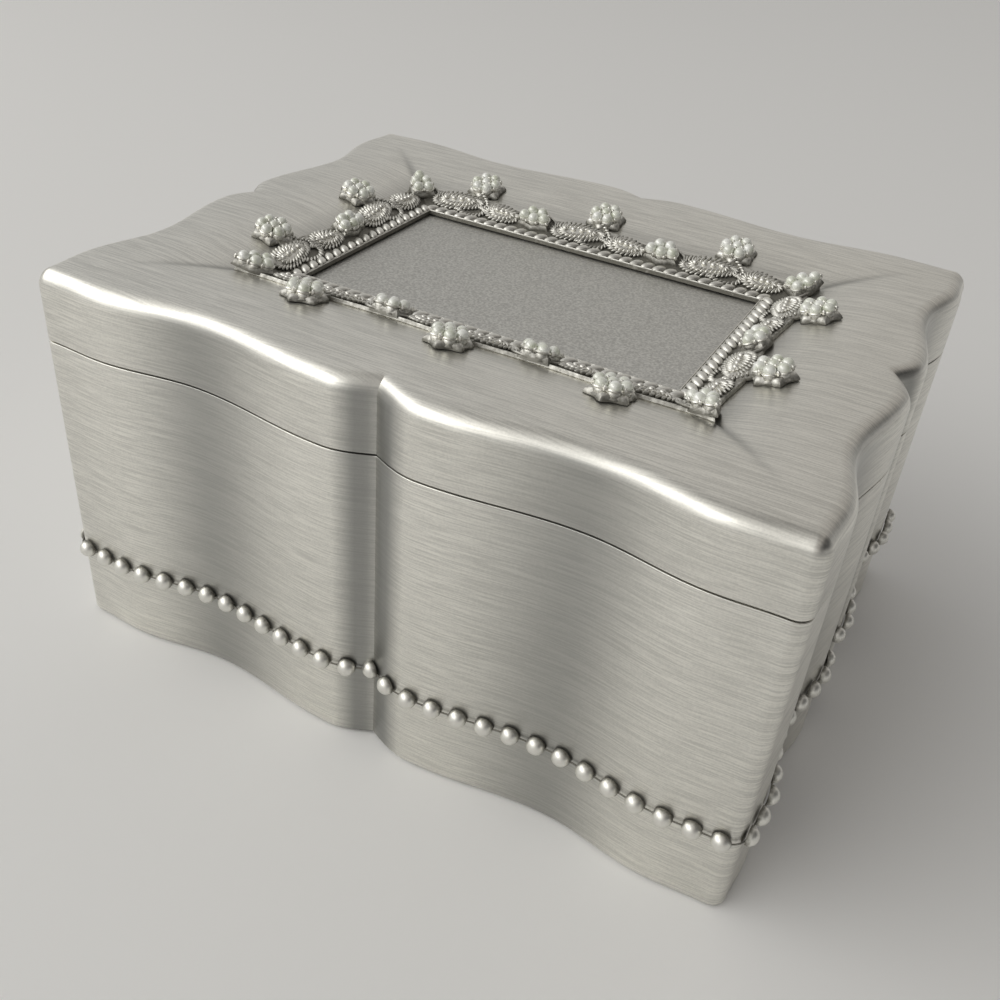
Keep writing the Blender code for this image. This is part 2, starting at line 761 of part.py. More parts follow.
def make_rod(name, start, end, radius, sides, material):
    """Rod along X, from start to end, round the hinge's axis."""
    bm = bmesh.new()
    bmesh.ops.create_cone(bm, cap_ends=True, segments=sides, radius1=radius, radius2=radius,
                          depth=end - start)
    place = (Matrix.Translation(((start + end) / 2, 0.0, 0.0))
             @ Matrix.Rotation(math.pi / 2, 4, "Y"))
    bmesh.ops.transform(bm, matrix=place, verts=bm.verts)
    return add_object(name, bm, material)


def make_leaf(name, knuckles, up, metal):
    """Hinge leaf round the axis: a plate for the wall, and knuckles drilled for the pin."""
    back = leaf_seat() - AXIS_Y
    face = back + LEAF_PLATE
    half = HINGE_LENGTH / 2
    near = up * LEAF_FREE
    far = up * LEAF_HEIGHT
    leaf = make_box(name, (-half, back, min(near, far)), (half, face, max(near, far)), metal)
    for start, end in knuckles:
        root = near + up * LEAF_PLATE / 2
        neck = make_box("neck", (start, back, min(0.0, root)), (end, face, max(0.0, root)), metal)
        combine(neck, make_rod("knuckle", start, end, BARREL_RADIUS, BARREL_SIDES, metal), "UNION")
        combine(leaf, neck, "UNION")
    bore = make_rod("bore", -HINGE_LENGTH, HINGE_LENGTH, PIN_RADIUS + GAP, PIN_SIDES, metal)
    combine(leaf, bore, "DIFFERENCE")
    return leaf


def stop_angle():
    """Angle from +Y towards +Z of the open stop, whose corner meets the body's leaf."""
    face = leaf_seat() + LEAF_PLATE + GAP - AXIS_Y
    corner = math.hypot(STOP_REACH, STOP_THICK / 2)
    return math.atan2(STOP_THICK / 2, STOP_REACH) + math.tau - math.acos(face / corner)


def add_stop(leaf, metal):
    """Radial stop on the lid's knuckle, which meets the body's leaf at the open angle."""
    inner = PIN_RADIUS + 2 * GAP
    bm = bmesh.new()
    bmesh.ops.create_cube(bm, size=1.0)
    bmesh.ops.scale(bm, vec=(CENTRE_KNUCKLE, STOP_REACH - inner, STOP_THICK), verts=bm.verts)
    bmesh.ops.translate(bm, vec=(0.0, (STOP_REACH + inner) / 2, 0.0), verts=bm.verts)
    closed = Matrix.Rotation(stop_angle() + math.radians(OPEN_ANGLE), 4, "X")
    bmesh.ops.transform(bm, matrix=closed, verts=bm.verts)
    combine(leaf, add_object("stop", bm, metal), "UNION")


def make_pin(metal):
    """Pin with a flat head at each end."""
    end = HINGE_LENGTH / 2 + GAP
    pin = make_rod("hinge_pin", -end, end, PIN_RADIUS, PIN_SIDES, metal)
    for start in (-end - PIN_HEAD, end):
        head = make_rod("head", start, start + PIN_HEAD, BARREL_RADIUS - GAP, BARREL_SIDES,
                        metal)
        combine(pin, head, "UNION")
    return pin


def make_hinges(metal):
    """Two butt hinges in the back wall's valleys; returns the leaves of the lid."""
    half = HINGE_LENGTH / 2
    inner = CENTRE_KNUCKLE / 2
    outer_knuckles = ((-half, -inner - KNUCKLE_GAP), (inner + KNUCKLE_GAP, half))
    places = [Matrix.Translation((x, AXIS_Y, AXIS_Z)) for x in (-HINGE_X, HINGE_X)]
    place_copies(make_leaf("hinge_base_leaf", outer_knuckles, -1, metal), places)
    place_copies(make_pin(metal), places)
    lid_leaf = make_leaf("hinge_lid_leaf", ((-inner, inner),), 1, metal)
    add_stop(lid_leaf, metal)
    return place_copies(lid_leaf, places)


def main():
    for obj in list(bpy.data.objects):
        bpy.data.objects.remove(obj)
    pewter = principled("brushed_pewter", (0.56, 0.55, 0.51), 0.36, 1.0)
    panel_metal = principled("blasted_panel", (0.40, 0.40, 0.39), 0.55, 1.0)
    pearl_white = principled("pearl", (0.84, 0.86, 0.78), 0.18, 0.0)
    velvet = principled("velvet", (0.035, 0.035, 0.04), 0.9, 0.0)
    felt = principled("felt", (0.03, 0.03, 0.03), 0.95, 0.0)
    hinge_metal = principled("hinge_metal", (0.60, 0.55, 0.42), 0.35, 1.0)
    make_base_shell(pewter)
    make_foot_pad(felt)
    make_bead_border(pewter)
    make_linings(velvet)
    make_floor_cushion(velvet)
    lid_pieces = [
        make_lid_shell(pewter),
        make_top_panel(panel_metal),
        make_rope_trim(pewter),
        make_ornament_frame(pewter),
        make_lid_lining(velvet),
        *make_all_clusters(pearl_white),
        *make_hinges(hinge_metal),
    ]
    pivot = bpy.data.objects.new("lid_pivot", None)
    pivot.location = (0.0, AXIS_Y, AXIS_Z)
    bpy.context.scene.collection.objects.link(pivot)
    hang_on(pivot, lid_pieces)


main()
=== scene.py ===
# %% [markdown]
# A keepsake box of cast pewter. Its walls run in a wave, a row of beads goes round the
# body, and a hinged lid carries an oblong frame of foliage with clusters of pearls.
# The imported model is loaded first. It gives every size and place, and the pieces below
# are made to fit it.

# %% Load the frame
import json
import math

import bmesh
import bpy
from mathutils import Matrix, Vector


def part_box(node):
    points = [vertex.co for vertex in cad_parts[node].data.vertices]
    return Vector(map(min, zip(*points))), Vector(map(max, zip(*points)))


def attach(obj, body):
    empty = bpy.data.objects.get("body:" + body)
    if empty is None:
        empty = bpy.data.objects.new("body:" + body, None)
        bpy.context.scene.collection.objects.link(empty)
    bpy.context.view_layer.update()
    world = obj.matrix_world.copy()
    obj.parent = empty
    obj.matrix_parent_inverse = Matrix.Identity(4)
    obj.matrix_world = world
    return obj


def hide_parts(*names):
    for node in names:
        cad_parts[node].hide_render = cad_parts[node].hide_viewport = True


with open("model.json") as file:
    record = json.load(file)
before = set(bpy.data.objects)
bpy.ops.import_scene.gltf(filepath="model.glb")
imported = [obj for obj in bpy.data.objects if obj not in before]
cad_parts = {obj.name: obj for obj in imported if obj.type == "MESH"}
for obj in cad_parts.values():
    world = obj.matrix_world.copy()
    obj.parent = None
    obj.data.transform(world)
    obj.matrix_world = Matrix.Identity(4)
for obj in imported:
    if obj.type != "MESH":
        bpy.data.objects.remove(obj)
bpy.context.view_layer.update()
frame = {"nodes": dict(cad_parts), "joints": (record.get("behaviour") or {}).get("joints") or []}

MM = 0.001
GAP = 0.3 * MM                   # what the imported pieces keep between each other
casting_z, seam_z = (corner.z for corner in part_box("base_shell"))
lid_z, top_z = (corner.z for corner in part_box("lid_shell"))
floor_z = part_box("floor_cushion")[0].z - GAP
print(f"body {casting_z / MM:.1f} to {seam_z / MM:.1f} mm, lid up to {top_z / MM:.1f} mm")

# %% [markdown]
# The wave is one formula for half a side: a sharp notch in the middle, a round lobe, a
# shallow valley, a shoulder, and then the corner. Every wall, rim and lining uses the same
# formula at its own inset, so they all run side by side like the cast walls do.

# %% The wavy outline
LENGTH = 133.0 * MM
DEPTH = 105.2 * MM
CORNER_RADIUS = 2.6 * MM
INNER_CORNER = 0.6 * MM
NOTCH = (2.0 * MM, 2.2 * MM)     # long sides, short sides
VALLEY = (1.95 * MM, 2.35 * MM)
LOBE = 0.6 * MM
SHOULDER = 0.5 * MM
LOBE_AT = 0.13
VALLEY_AT = 0.53
SHOULDER_AT = 0.84
WAVE_STEPS = (14, 26, 20, 12)    # notch to lobe, valley, shoulder and corner
CORNER_STEPS = 8


def clamp(value):
    return max(0.0, min(1.0, value))


def ease(start, end, share):
    return start + (end - start) * (1 - math.cos(math.pi * share)) / 2


def wave(side, share):
    """How far a wall stands out, at a share of the way from its middle to its corner."""
    share, notch, valley = abs(share), NOTCH[side % 2], VALLEY[side % 2]
    if share < LOBE_AT:
        return (notch + LOBE) * math.sin(math.pi / 2 * share / LOBE_AT) - notch
    if share < VALLEY_AT:
        return ease(LOBE, -valley, (share - LOBE_AT) / (VALLEY_AT - LOBE_AT))
    if share < SHOULDER_AT:
        return ease(-valley, SHOULDER, (share - VALLEY_AT) / (SHOULDER_AT - VALLEY_AT))
    return ease(SHOULDER, 0.0, (share - SHOULDER_AT) / (1 - SHOULDER_AT))


def wave_shares():
    stations = (0.0, LOBE_AT, VALLEY_AT, SHOULDER_AT, 1.0)
    half = [0.0]
    for start, end, count in zip(stations, stations[1:], WAVE_STEPS):
        half += [start + (end - start) * (k + 1) / count for k in range(count)]
    return [-share for share in reversed(half[1:])] + half


def turned(side, along, out):
    """From along and out of side 0 front, 1 right, 2 back or 3 left to X and Y."""
    return ((along, -out), (out, along), (-along, out), (-out, -along))[side]


def own_first(side, long, short):
    """A long and a short side's values, with this side's own one first."""
    return (short, long) if side % 2 else (long, short)


def side_run(side, inset):
    """Half a side between its corners, their radius, and how far out the side lies."""
    half, reach = own_first(side, LENGTH / 2, DEPTH / 2)
    radius = max(CORNER_RADIUS - inset, INNER_CORNER)
    return half - inset - radius, radius, reach - inset


def side_points(side, inset):
    """Points along one side, from the middle of a corner to the middle of the next."""
    run, radius, face = side_run(side, inset)
    quarter = [math.pi / 4 * k / CORNER_STEPS for k in range(CORNER_STEPS + 1)]
    corner = [(radius * math.sin(a), radius * (1 - math.cos(a))) for a in quarter]
    points = [(-run - x, face - y) for x, y in corner[:0:-1]]
    points += [(share * run, face + wave(side, share)) for share in wave_shares()]
    return points + [(run + x, face - y) for x, y in corner[1:]]


def wavy_ring(inset, z):
    """The outline at an inset and a height, as one closed ring of points."""
    return [(*turned(side, *point), z) for side in range(4)
            for point in side_points(side, inset)[:-1]]


print(f"{len(wavy_ring(0.0, 0.0))} stations round the box")

# %% [markdown]
# Blender's operators act on all that is selected, so each piece starts with everything else
# deselected. A primitive is added, named, and then shaped in edit mode.

# %% Select, name and edit
def select_only(*pieces):
    bpy.ops.object.select_all(action="DESELECT")
    for piece in pieces:
        piece.select_set(True)
    bpy.context.view_layer.objects.active = pieces[0]


def named(piece, name):
    piece.name = name
    piece.data.name = name
    return piece


def edit_all(piece):
    select_only(piece)
    bpy.ops.object.mode_set(mode="EDIT")
    bpy.ops.mesh.select_all(action="SELECT")


def leave_edit():
    """Turns every face outwards, and leaves edit mode."""
    bpy.ops.mesh.select_all(action="SELECT")
    bpy.ops.mesh.normals_make_consistent(inside=False)
    bpy.ops.object.mode_set(mode="OBJECT")


def smooth_by_angle(piece, degrees):
    select_only(piece)
    bpy.ops.object.shade_smooth_by_angle(angle=math.radians(degrees))


def hand_over(piece, material, body, slot, node):
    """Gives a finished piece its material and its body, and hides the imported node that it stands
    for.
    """
    piece.data.materials.clear()
    piece.data.materials.append(material)
    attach(piece, body)
    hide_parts(node)


# %% [markdown]
# A cast shell could be carved with Booleans, but the wave would leave untidy faces. Here
# a circle is added, its points are laid on the outline, and the edge is extruded from ring
# to ring. Each point carries its station round the box, so that every new ring can be laid
# on its own inset and height. The faces stay clean quads from foot to rim.

# %% Rings: grow a shell
def lay_selected(piece, ring):
    mesh = bmesh.from_edit_mesh(piece.data)
    station = mesh.verts.layers.int["station"]
    for vertex in mesh.verts:
        if vertex.select:
            vertex.co = ring[vertex[station]]
    bmesh.update_edit_mesh(piece.data)


def grow_shell(name, rings, closed=False):
    """A shell through rings. Its two ends are filled, or joined if it is a closed band."""
    bpy.ops.object.select_all(action="DESELECT")
    bpy.ops.mesh.primitive_circle_add(vertices=len(rings[0]))
    piece = named(bpy.context.object, name)
    station = piece.data.attributes.new("station", "INT", "POINT")
    for k, (vertex, point) in enumerate(zip(piece.data.vertices, rings[0])):
        vertex.co = point
        station.data[k].value = k
    edit_all(piece)
    if not closed:
        bpy.ops.mesh.edge_face_add()
        bpy.ops.mesh.select_all(action="SELECT")
    for ring in rings[1:] + (rings[:1] if closed else []):
        bpy.ops.mesh.extrude_region_move()
        lay_selected(piece, ring)
    if closed:
        bpy.ops.mesh.select_all(action="SELECT")
        bpy.ops.mesh.remove_doubles(threshold=0.001 * MM)
    leave_edit()
    piece.data.attributes.remove(piece.data.attributes["station"])
    return piece


def wavy_shell(name, profile):
    """A shell whose every ring is the wavy outline, at the profile's insets and heights."""
    return grow_shell(name, [wavy_ring(inset, z) for inset, z in profile])


def rounded(inset_from, inset_to, z_from, z_to, steps=5):
    """Insets and heights of a quarter round that leaves the wall upright."""
    turns = [math.pi / 2 * k / steps for k in range(steps + 1)]
    return [(inset_from + (inset_to - inset_from) * (1 - math.cos(a)),
             z_from + (z_to - z_from) * math.sin(a)) for a in turns]


# %% [markdown]
# Brushed metal is a finish of direction. The brush leaves hair-thin streaks along the
# wall and, on the lid, along the long side. They tilt the surface across their run, which
# draws every reflection out into a soft band. The streaks are noise that is stretched along
# the brush, in the colour and in the height. One group makes them, and each material sets
# how strong they are.

# %% Node helpers
def feed(tree, socket, source):
    """Links another node's output to a socket, or sets the socket to a plain value."""
    if isinstance(source, bpy.types.NodeSocket):
        tree.links.new(source, socket)
    else:
        socket.default_value = source


def add_node(tree, kind, inputs, **settings):
    """A node with its settings, and what feeds its inputs, each by its name or place."""
    node = tree.nodes.new(kind)
    for key, value in settings.items():
        setattr(node, key, value)
    for key, source in inputs.items():
        feed(tree, node.inputs[key], source)
    return node


def new_group(name, inputs, outputs):
    """A node group with named sockets. Its inputs' outer ends and its outputs come with it."""
    group = bpy.data.node_groups.new(name, "ShaderNodeTree")
    for way, sockets in (("INPUT", inputs), ("OUTPUT", outputs)):
        for label, kind in sockets.items():
            group.interface.new_socket(label, in_out=way, socket_type="NodeSocket" + kind)
    return (group, group.nodes.new("NodeGroupInput").outputs,
            group.nodes.new("NodeGroupOutput").inputs)


def stretched_noise(tree, place, stretch, detail=3.0, roughness=0.6):
    """Noise whose grain is one unit long after the coordinates are multiplied."""
    scale = stretch if isinstance(stretch, tuple) else (stretch,) * 3
    mapping = add_node(tree, "ShaderNodeMapping", {"Vector": place, "Scale": scale})
    return add_node(tree, "ShaderNodeTexNoise",
                    {"Vector": mapping.outputs["Vector"], "Scale": 1.0, "Detail": detail,
                     "Roughness": roughness}).outputs["Fac"]


def math_node(tree, operation, first, second):
    return add_node(tree, "ShaderNodeMath", {0: first, 1: second},
                    operation=operation).outputs["Value"]


def value_range(tree, value, low, high, to_low=0.0, to_high=1.0):
    return add_node(tree, "ShaderNodeMapRange",
                    {"Value": value, "From Min": low, "From Max": high, "To Min": to_low,
                     "To Max": to_high}).outputs["Result"]


def two_colours(tree, factor, first, second):
    """A colour between two, by a factor from 0 to 1. Each colour is a socket or a value."""
    mix = add_node(tree, "ShaderNodeMix", {"Factor": factor}, data_type="RGBA")
    ends = [socket for socket in mix.inputs if socket.type == "RGBA"]
    for socket, colour in zip(ends, (first, second)):
        feed(tree, socket, (*colour, 1.0) if isinstance(colour, tuple) else colour)
    return next(socket for socket in mix.outputs if socket.type == "RGBA")


def new_material(name):
    """A material, its tree, and the coordinates of the object that it is on."""
    material = bpy.data.materials.new(name)
    material.use_nodes = True
    place = add_node(material.node_tree, "ShaderNodeTexCoord", {})
    return material, material.node_tree, place.outputs["Object"]


def finish(material, values, height=None, depth=0.0):
    """Feeds the shader's sockets by name. A height and its depth in metres make the bump."""
    tree = material.node_tree
    if height is not None:
        bump = add_node(tree, "ShaderNodeBump",
                        {"Strength": 1.0, "Distance": depth, "Height": height})
        values["Normal"] = bump.outputs["Normal"]
    for label, source in values.items():
        feed(tree, tree.nodes["Principled BSDF"].inputs[label], source)
    return material


# %% The brushed grain
STREAKS = ((130.0, 3900.0, 0.70),    # grains per metre along and across the brush, and share
           (40.0, 1500.0, 0.12))
GRIT = (2800.0, 0.18)            # the sandy grit between the streaks: per metre, and share
CLOUD = (26.0, 26.0, 40.0)


def make_brushed_grain():
    group, source, sink = new_group("brushed_grain",
                                    {"Coordinates": "Vector", "Facing": "Vector"},
                                    {"Streaks": "Float", "Cloud": "Float"})
    where = source["Coordinates"]
    facing = add_node(group, "ShaderNodeSeparateXYZ", {"Vector": source["Facing"]})
    top = value_range(group, math_node(group, "ABSOLUTE", facing.outputs["Z"], 0.0), 0.55, 0.80)
    layers = [(stretched_noise(group, where, GRIT[0], 1.0), GRIT[1])]
    for along, across, share in STREAKS:
        mix = add_node(group, "ShaderNodeMix",
                       {"Factor": top,
                        "A": stretched_noise(group, where, (along, along, across)),
                        "B": stretched_noise(group, where, (along, across, along))},
                       data_type="FLOAT")
        layers.append((mix.outputs["Result"], share))
    grit, fine, wide = (math_node(group, "MULTIPLY", noise, share) for noise, share in layers)
    streaks = math_node(group, "ADD", math_node(group, "ADD", fine, wide), grit)
    feed(group, sink["Streaks"], streaks)
    feed(group, sink["Cloud"], stretched_noise(group, where, CLOUD, 2.0, 0.5))
    return group


brushed_grain = make_brushed_grain()
print("brushed grain:", len(brushed_grain.nodes), "nodes")

# %% [markdown]
# Handling leaves marks: pale specks where something small has struck the metal, and a few
# dark nicks. Each is a dot round the middle of a Voronoi cell, kept only in the few cells
# whose random colour passes a limit. A second group makes them for every metal.

# %% Specks and nicks
def make_small_marks():
    group, source, sink = new_group(
        "small_marks",
        {"Coordinates": "Vector", "Cells": "Float", "Share": "Float", "Size": "Float"},
        {"Mask": "Float"})
    cells = add_node(group, "ShaderNodeTexVoronoi",
                     {"Vector": source["Coordinates"], "Scale": source["Cells"]}, feature="F1")
    inside = math_node(group, "LESS_THAN", cells.outputs["Distance"], source["Size"])
    chance = add_node(group, "ShaderNodeSeparateColor", {"Color": cells.outputs["Color"]})
    chosen = math_node(group, "LESS_THAN", chance.outputs["Red"], source["Share"])
    feed(group, sink["Mask"], math_node(group, "MULTIPLY", inside, chosen))
    return group


small_marks = make_small_marks()


def with_marks(tree, place, colour, mark, cells, share, size):
    """Lays marks over a colour: cells per metre, the share that have one, and its size."""
    marks = add_node(tree, "ShaderNodeGroup",
                     {"Coordinates": place, "Cells": cells, "Share": share, "Size": size},
                     node_tree=small_marks)
    return two_colours(tree, marks.outputs["Mask"], colour, mark)


print("small marks:", len(small_marks.nodes), "nodes")

# %% [markdown]
# The pewter is antiqued too: it was darkened all over and then brushed bright. The brush
# reaches the lobes and the shoulders of the wave fully, and leaves some patina in the
# valleys and in the notch. So the walls are darker in the hollows wherever the light
# stands. The castings carry an attribute that says how deep a point lies. On the lid's dish
# it also carries patina and painted shade beside the frame, and painted shade in the mitres.

# %% Brushed pewter, for the body and the lid
PEWTER_DARK = (0.655, 0.646, 0.600)
PEWTER_LIGHT = (0.885, 0.870, 0.808)
# patina in the wave's hollows; in the lid's dish, patina and painted shade
PEWTER_PATINA_AND_SHADE = (0.262, 0.264, 0.254)
PATINA_AND_SHADE_SHARE = 0.86              # of the dark colour, at the deepest hollow and the strongest painted shade
PEWTER_GLOSS = (0.31, 0.36)      # its roughness wanders between these two
BRUSH_DEPTH = 0.003 * MM


def make_pewter():
    material, tree, place = new_material("brushed_pewter")
    grain = add_node(tree, "ShaderNodeGroup",
                     {"Coordinates": place, "Facing": place.node.outputs["Normal"]},
                     node_tree=brushed_grain)
    streaks = grain.outputs["Streaks"]
    patina_and_shade = add_node(tree, "ShaderNodeAttribute", {}, attribute_name="patina_and_shade")
    brush = add_node(tree, "ShaderNodeTangent", {}, direction_type="UV_MAP", uv_map="brush")
    colour = two_colours(tree, value_range(tree, streaks, 0.40, 0.60), PEWTER_DARK, PEWTER_LIGHT)
    # patina in the hollows, and painted shade in the lid's dish
    patina_and_shade_mix = math_node(tree, "MULTIPLY", patina_and_shade.outputs["Fac"], PATINA_AND_SHADE_SHARE)
    colour = two_colours(tree, patina_and_shade_mix, colour, PEWTER_PATINA_AND_SHADE)
    colour = with_marks(tree, place, colour, (0.92, 0.92, 0.89), 210.0, 0.022, 0.05)
    colour = with_marks(tree, place, colour, (0.10, 0.10, 0.09), 95.0, 0.010, 0.035)
    rough = value_range(tree, grain.outputs["Cloud"], 0.3, 0.7, *PEWTER_GLOSS)
    return finish(material, {"Base Color": colour, "Roughness": rough, "Metallic": 1.0,
                             "Anisotropic": 0.60, "Tangent": brush.outputs["Tangent"]},
                  streaks, BRUSH_DEPTH)


pewter = make_pewter()
print("brushed_pewter:", len(pewter.node_tree.nodes), "nodes")

# %% [markdown]
# The cast ornament is darkened on purpose. A patina fills the recesses, and the crests are
# rubbed bright again. Each ornament piece carries an attribute, relief, that says how high a
# point stands off its ground, and the material goes from patina to polish by it. Next to the
# wall on the beads and low on the settings, the dark end is painted shade as well as patina.

# %% Ornament, hinges and panel
def make_ornament_metal():
    material, tree, place = new_material("rubbed_ornament")
    relief = add_node(tree, "ShaderNodeAttribute", {}, attribute_name="relief")
    worn = value_range(tree, stretched_noise(tree, place, 900.0, 4.0), 0.3, 0.7, -0.22, 0.22)
    polish = value_range(tree, math_node(tree, "ADD", relief.outputs["Fac"], worn), 0.08, 0.66)
    # the dark end is patina; on the beads by the wall and low on the settings, painted shade too
    colour = two_colours(tree, polish, (0.250, 0.243, 0.216), (0.830, 0.820, 0.770))
    rough = value_range(tree, polish, 0.0, 1.0, 0.60, 0.42)
    return finish(material, {"Base Color": colour, "Roughness": rough, "Metallic": 1.0},
                  stretched_noise(tree, place, 2600.0, 2.0), 0.02 * MM)


def make_hinge_metal():
    """Plain brassy metal with a fine satin grain."""
    material, tree, place = new_material("hinge_metal")
    grain = stretched_noise(tree, place, (700.0, 700.0, 1500.0))
    colour = two_colours(tree, value_range(tree, grain, 0.35, 0.65), (0.46, 0.42, 0.32),
                         (0.60, 0.55, 0.42))
    colour = with_marks(tree, place, colour, (0.12, 0.11, 0.10), 400.0, 0.04, 0.08)
    rough = value_range(tree, grain, 0.3, 0.7, 0.32, 0.40)
    return finish(material, {"Base Color": colour, "Roughness": rough, "Metallic": 1.0},
                  grain, 0.01 * MM)


def make_panel_metal():
    material, tree, place = new_material("blasted_panel")
    pebbles = stretched_noise(tree, place, 2300.0)
    colour = two_colours(tree, value_range(tree, pebbles, 0.38, 0.64), (0.520, 0.515, 0.490),
                         (0.740, 0.735, 0.700))
    colour = with_marks(tree, place, colour, (0.80, 0.79, 0.75), 420.0, 0.05, 0.07)
    rough = value_range(tree, stretched_noise(tree, place, 60.0), 0.3, 0.7, 0.44, 0.52)
    return finish(material, {"Base Color": colour, "Roughness": rough, "Metallic": 1.0},
                  pebbles, 0.10 * MM)


ornament_metal = make_ornament_metal()
hinge_metal = make_hinge_metal()
panel_metal = make_panel_metal()
print("metals:", ornament_metal.name, hinge_metal.name, panel_metal.name)

# %% [markdown]
# The pearls are glass beads with a pearly coat: a cream body, a faint green cast, and a
# clear layer over it that catches small sharp highlights. Velvet is nearly black in the
# hollows and paler at a low angle, which Sheen gives. Felt is matt, with matted fibres.

# %% Pearl, velvet and felt
def make_pearl():
    material, tree, place = new_material("pearl")
    cast = value_range(tree, stretched_noise(tree, place, 420.0, 2.0), 0.35, 0.65)
    colour = two_colours(tree, cast, (0.68, 0.71, 0.58), (0.95, 0.96, 0.92))
    return finish(material, {"Base Color": colour, "Roughness": 0.20, "Coat Weight": 1.0,
                             "Coat Roughness": 0.05, "Coat IOR": 2.0})


def make_cloth(name, dark, light, grain, depth, sheen):
    material, tree, place = new_material(name)
    pile = stretched_noise(tree, place, grain, 4.0, 0.7)
    brushed = value_range(tree, stretched_noise(tree, place, 70.0, 2.0), 0.3, 0.7, 0.55, 1.0)
    tone = math_node(tree, "MULTIPLY", value_range(tree, pile, 0.3, 0.7), brushed)
    return finish(material, {"Base Color": two_colours(tree, tone, dark, light),
                             "Roughness": 0.9, "Sheen Weight": sheen, "Sheen Roughness": 0.35},
                  pile, depth)


pearl_white = make_pearl()
velvet = make_cloth("velvet", (0.012, 0.012, 0.015), (0.050, 0.050, 0.058), 3200.0,
                    0.10 * MM, 0.6)
felt = make_cloth("felt", (0.014, 0.014, 0.014), (0.050, 0.050, 0.048), 1500.0, 0.15 * MM, 0.1)
print("soft finishes:", velvet.name, felt.name)

# %% [markdown]
# The body is one casting: a rim to stand on, upright wavy walls with a softly broken edge
# at the foot and at the seam, and a floor. Its rings run up the outside, over the edge
# and down the inside. Before the castings come two helpers, for the marks that the pewter
# reads from them: the brush's direction, and how deep each point lies in the wave.

# %% The brush's direction, as a UV map, and the hollows, as an attribute
VALLEY_DARK = 0.82               # patina at the bottom of a valley; the notch has all of it
NOTCH_DARK = (0.05, 0.055)       # its half width, and how far it fades, as shares of half a side
CREASE_BRIGHT = (0.35, 0.014)    # what the brush takes off right in the crease, and its width
LOOKS_UP = 0.6                   # a face whose normal rises more than this is brushed as a top


def brush_map(piece):
    """U runs across the brush, the way that highlights stretch: up the walls, along Y on top."""
    layer = piece.data.uv_layers.new(name="brush")
    for face in piece.data.polygons:
        x, y, z = (abs(part) for part in face.normal)
        across, along = (1, 0) if z > LOOKS_UP else (2, 0) if y >= x else (2, 1)
        for corner in face.loop_indices:
            spot = piece.data.vertices[piece.data.loops[corner].vertex_index].co
            layer.data[corner].uv = (spot[across] / LENGTH + 0.5, spot[along] / LENGTH + 0.5)


def mark_hollows(piece, fade):
    """Writes how deep a wall's point lies in the wave, 0 to 1. It fades over the rim."""
    patina_and_shade = piece.data.attributes.new("patina_and_shade", "FLOAT", "POINT")
    for vertex, mark in zip(piece.data.vertices, patina_and_shade.data):
        x, y = abs(vertex.co.x), abs(vertex.co.y)
        side = int(x - LENGTH / 2 > y - DEPTH / 2)
        (along, out), (half, reach) = (own_first(side, x, y),
                                       own_first(side, LENGTH / 2, DEPTH / 2))
        share = along / (half - CORNER_RADIUS)
        stands = wave(side, min(1.0, share))
        valley = VALLEY_DARK * clamp((LOBE - stands) / (LOBE + VALLEY[side])) ** 1.5
        notch = 1 - clamp((share - NOTCH_DARK[0]) / NOTCH_DARK[1])
        crease = CREASE_BRIGHT[0] * math.exp(-(share / CREASE_BRIGHT[1]) ** 2)
        inset = reach + stands - out
        mark.value = (max(valley, notch) - crease) * clamp(1 - inset / fade)


def finish_casting(piece, smooth, fade, body, node):
    smooth_by_angle(piece, smooth)
    brush_map(piece)
    mark_hollows(piece, fade)
    hand_over(piece, pewter, body, "pewter", node)


# %% Body casting
WALL = 2.2 * MM
FOOT_RIM = 3.0 * MM
FOOT_RECESS = 1.2 * MM
EDGE = 0.5 * MM
SEAM_EDGE = 0.14 * MM            # the seam's edges are much sharper than the foot's


def make_body():
    foot = rounded(0.0, EDGE, casting_z + EDGE, casting_z)
    edge = rounded(0.0, SEAM_EDGE, seam_z - SEAM_EDGE, seam_z, 3)
    inner = rounded(WALL, WALL - EDGE / 2, seam_z - EDGE / 2, seam_z, 3)
    profile = [(FOOT_RIM, casting_z + FOOT_RECESS), (FOOT_RIM, casting_z)]
    profile += foot[::-1] + edge + inner[::-1] + [(WALL, floor_z)]
    return wavy_shell("body_casting", profile)


body = make_body()
finish_casting(body, 40, WALL, "box", "base_shell")
print("body_casting:", len(body.data.polygons), "faces")

# %% [markdown]
# The lid is a second casting. Its wall carries on the body's wave, its upper edge is a
# broad round, and from there the top falls in a shallow dish to the frame, with a crease
# where two sides meet. The rings change from the wavy outline to plain oblongs on the way.

# %% Lid casting
RIM_RADIUS = 3.2 * MM
DISH_REACH = 14.0 * MM
DISH_DROP = 2.2 * MM
DISH_STEPS = 10
BAND = 8.3 * MM                  # width of the frame, from the panel to the outer edge
LIP = 1.5 * MM
ROOF = 2.0 * MM
SEAT = 3.0 * MM                  # how far the flat seat of the frame reaches past the panel
UNDER_STEP = 0.7                 # where the underside steps up, as a share of the dish
pocket_low, pocket_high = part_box("top_panel")
panel_x = pocket_high.x - (LIP - GAP)
panel_y = pocket_high.y - (LIP - GAP)
pocket_z = pocket_low.z - GAP
panel_z = pocket_high.z


def dish_height(distance):
    """Height of the lid's top at a distance outside the frame."""
    return top_z - DISH_DROP * clamp(1 - distance / DISH_REACH) ** 2


def oblong_ring(width, z, draw=None, slope=0.0):
    """An oblong at a width round the panel, with a point for each station of the outline.
    Draw says how far its edge draws in there, and the ring sinks by the slope."""
    ring = []
    for side in range(4):
        half, reach = own_first(side, panel_x, panel_y)
        points = side_points(side, 0.0)
        for along, _ in points[:-1]:
            share = along / points[-1][0]
            inward = draw(side, share, half + width) if draw else 0.0
            ring.append((*turned(side, share * (half + width - inward), reach + width - inward),
                         z - slope * inward))
    return ring


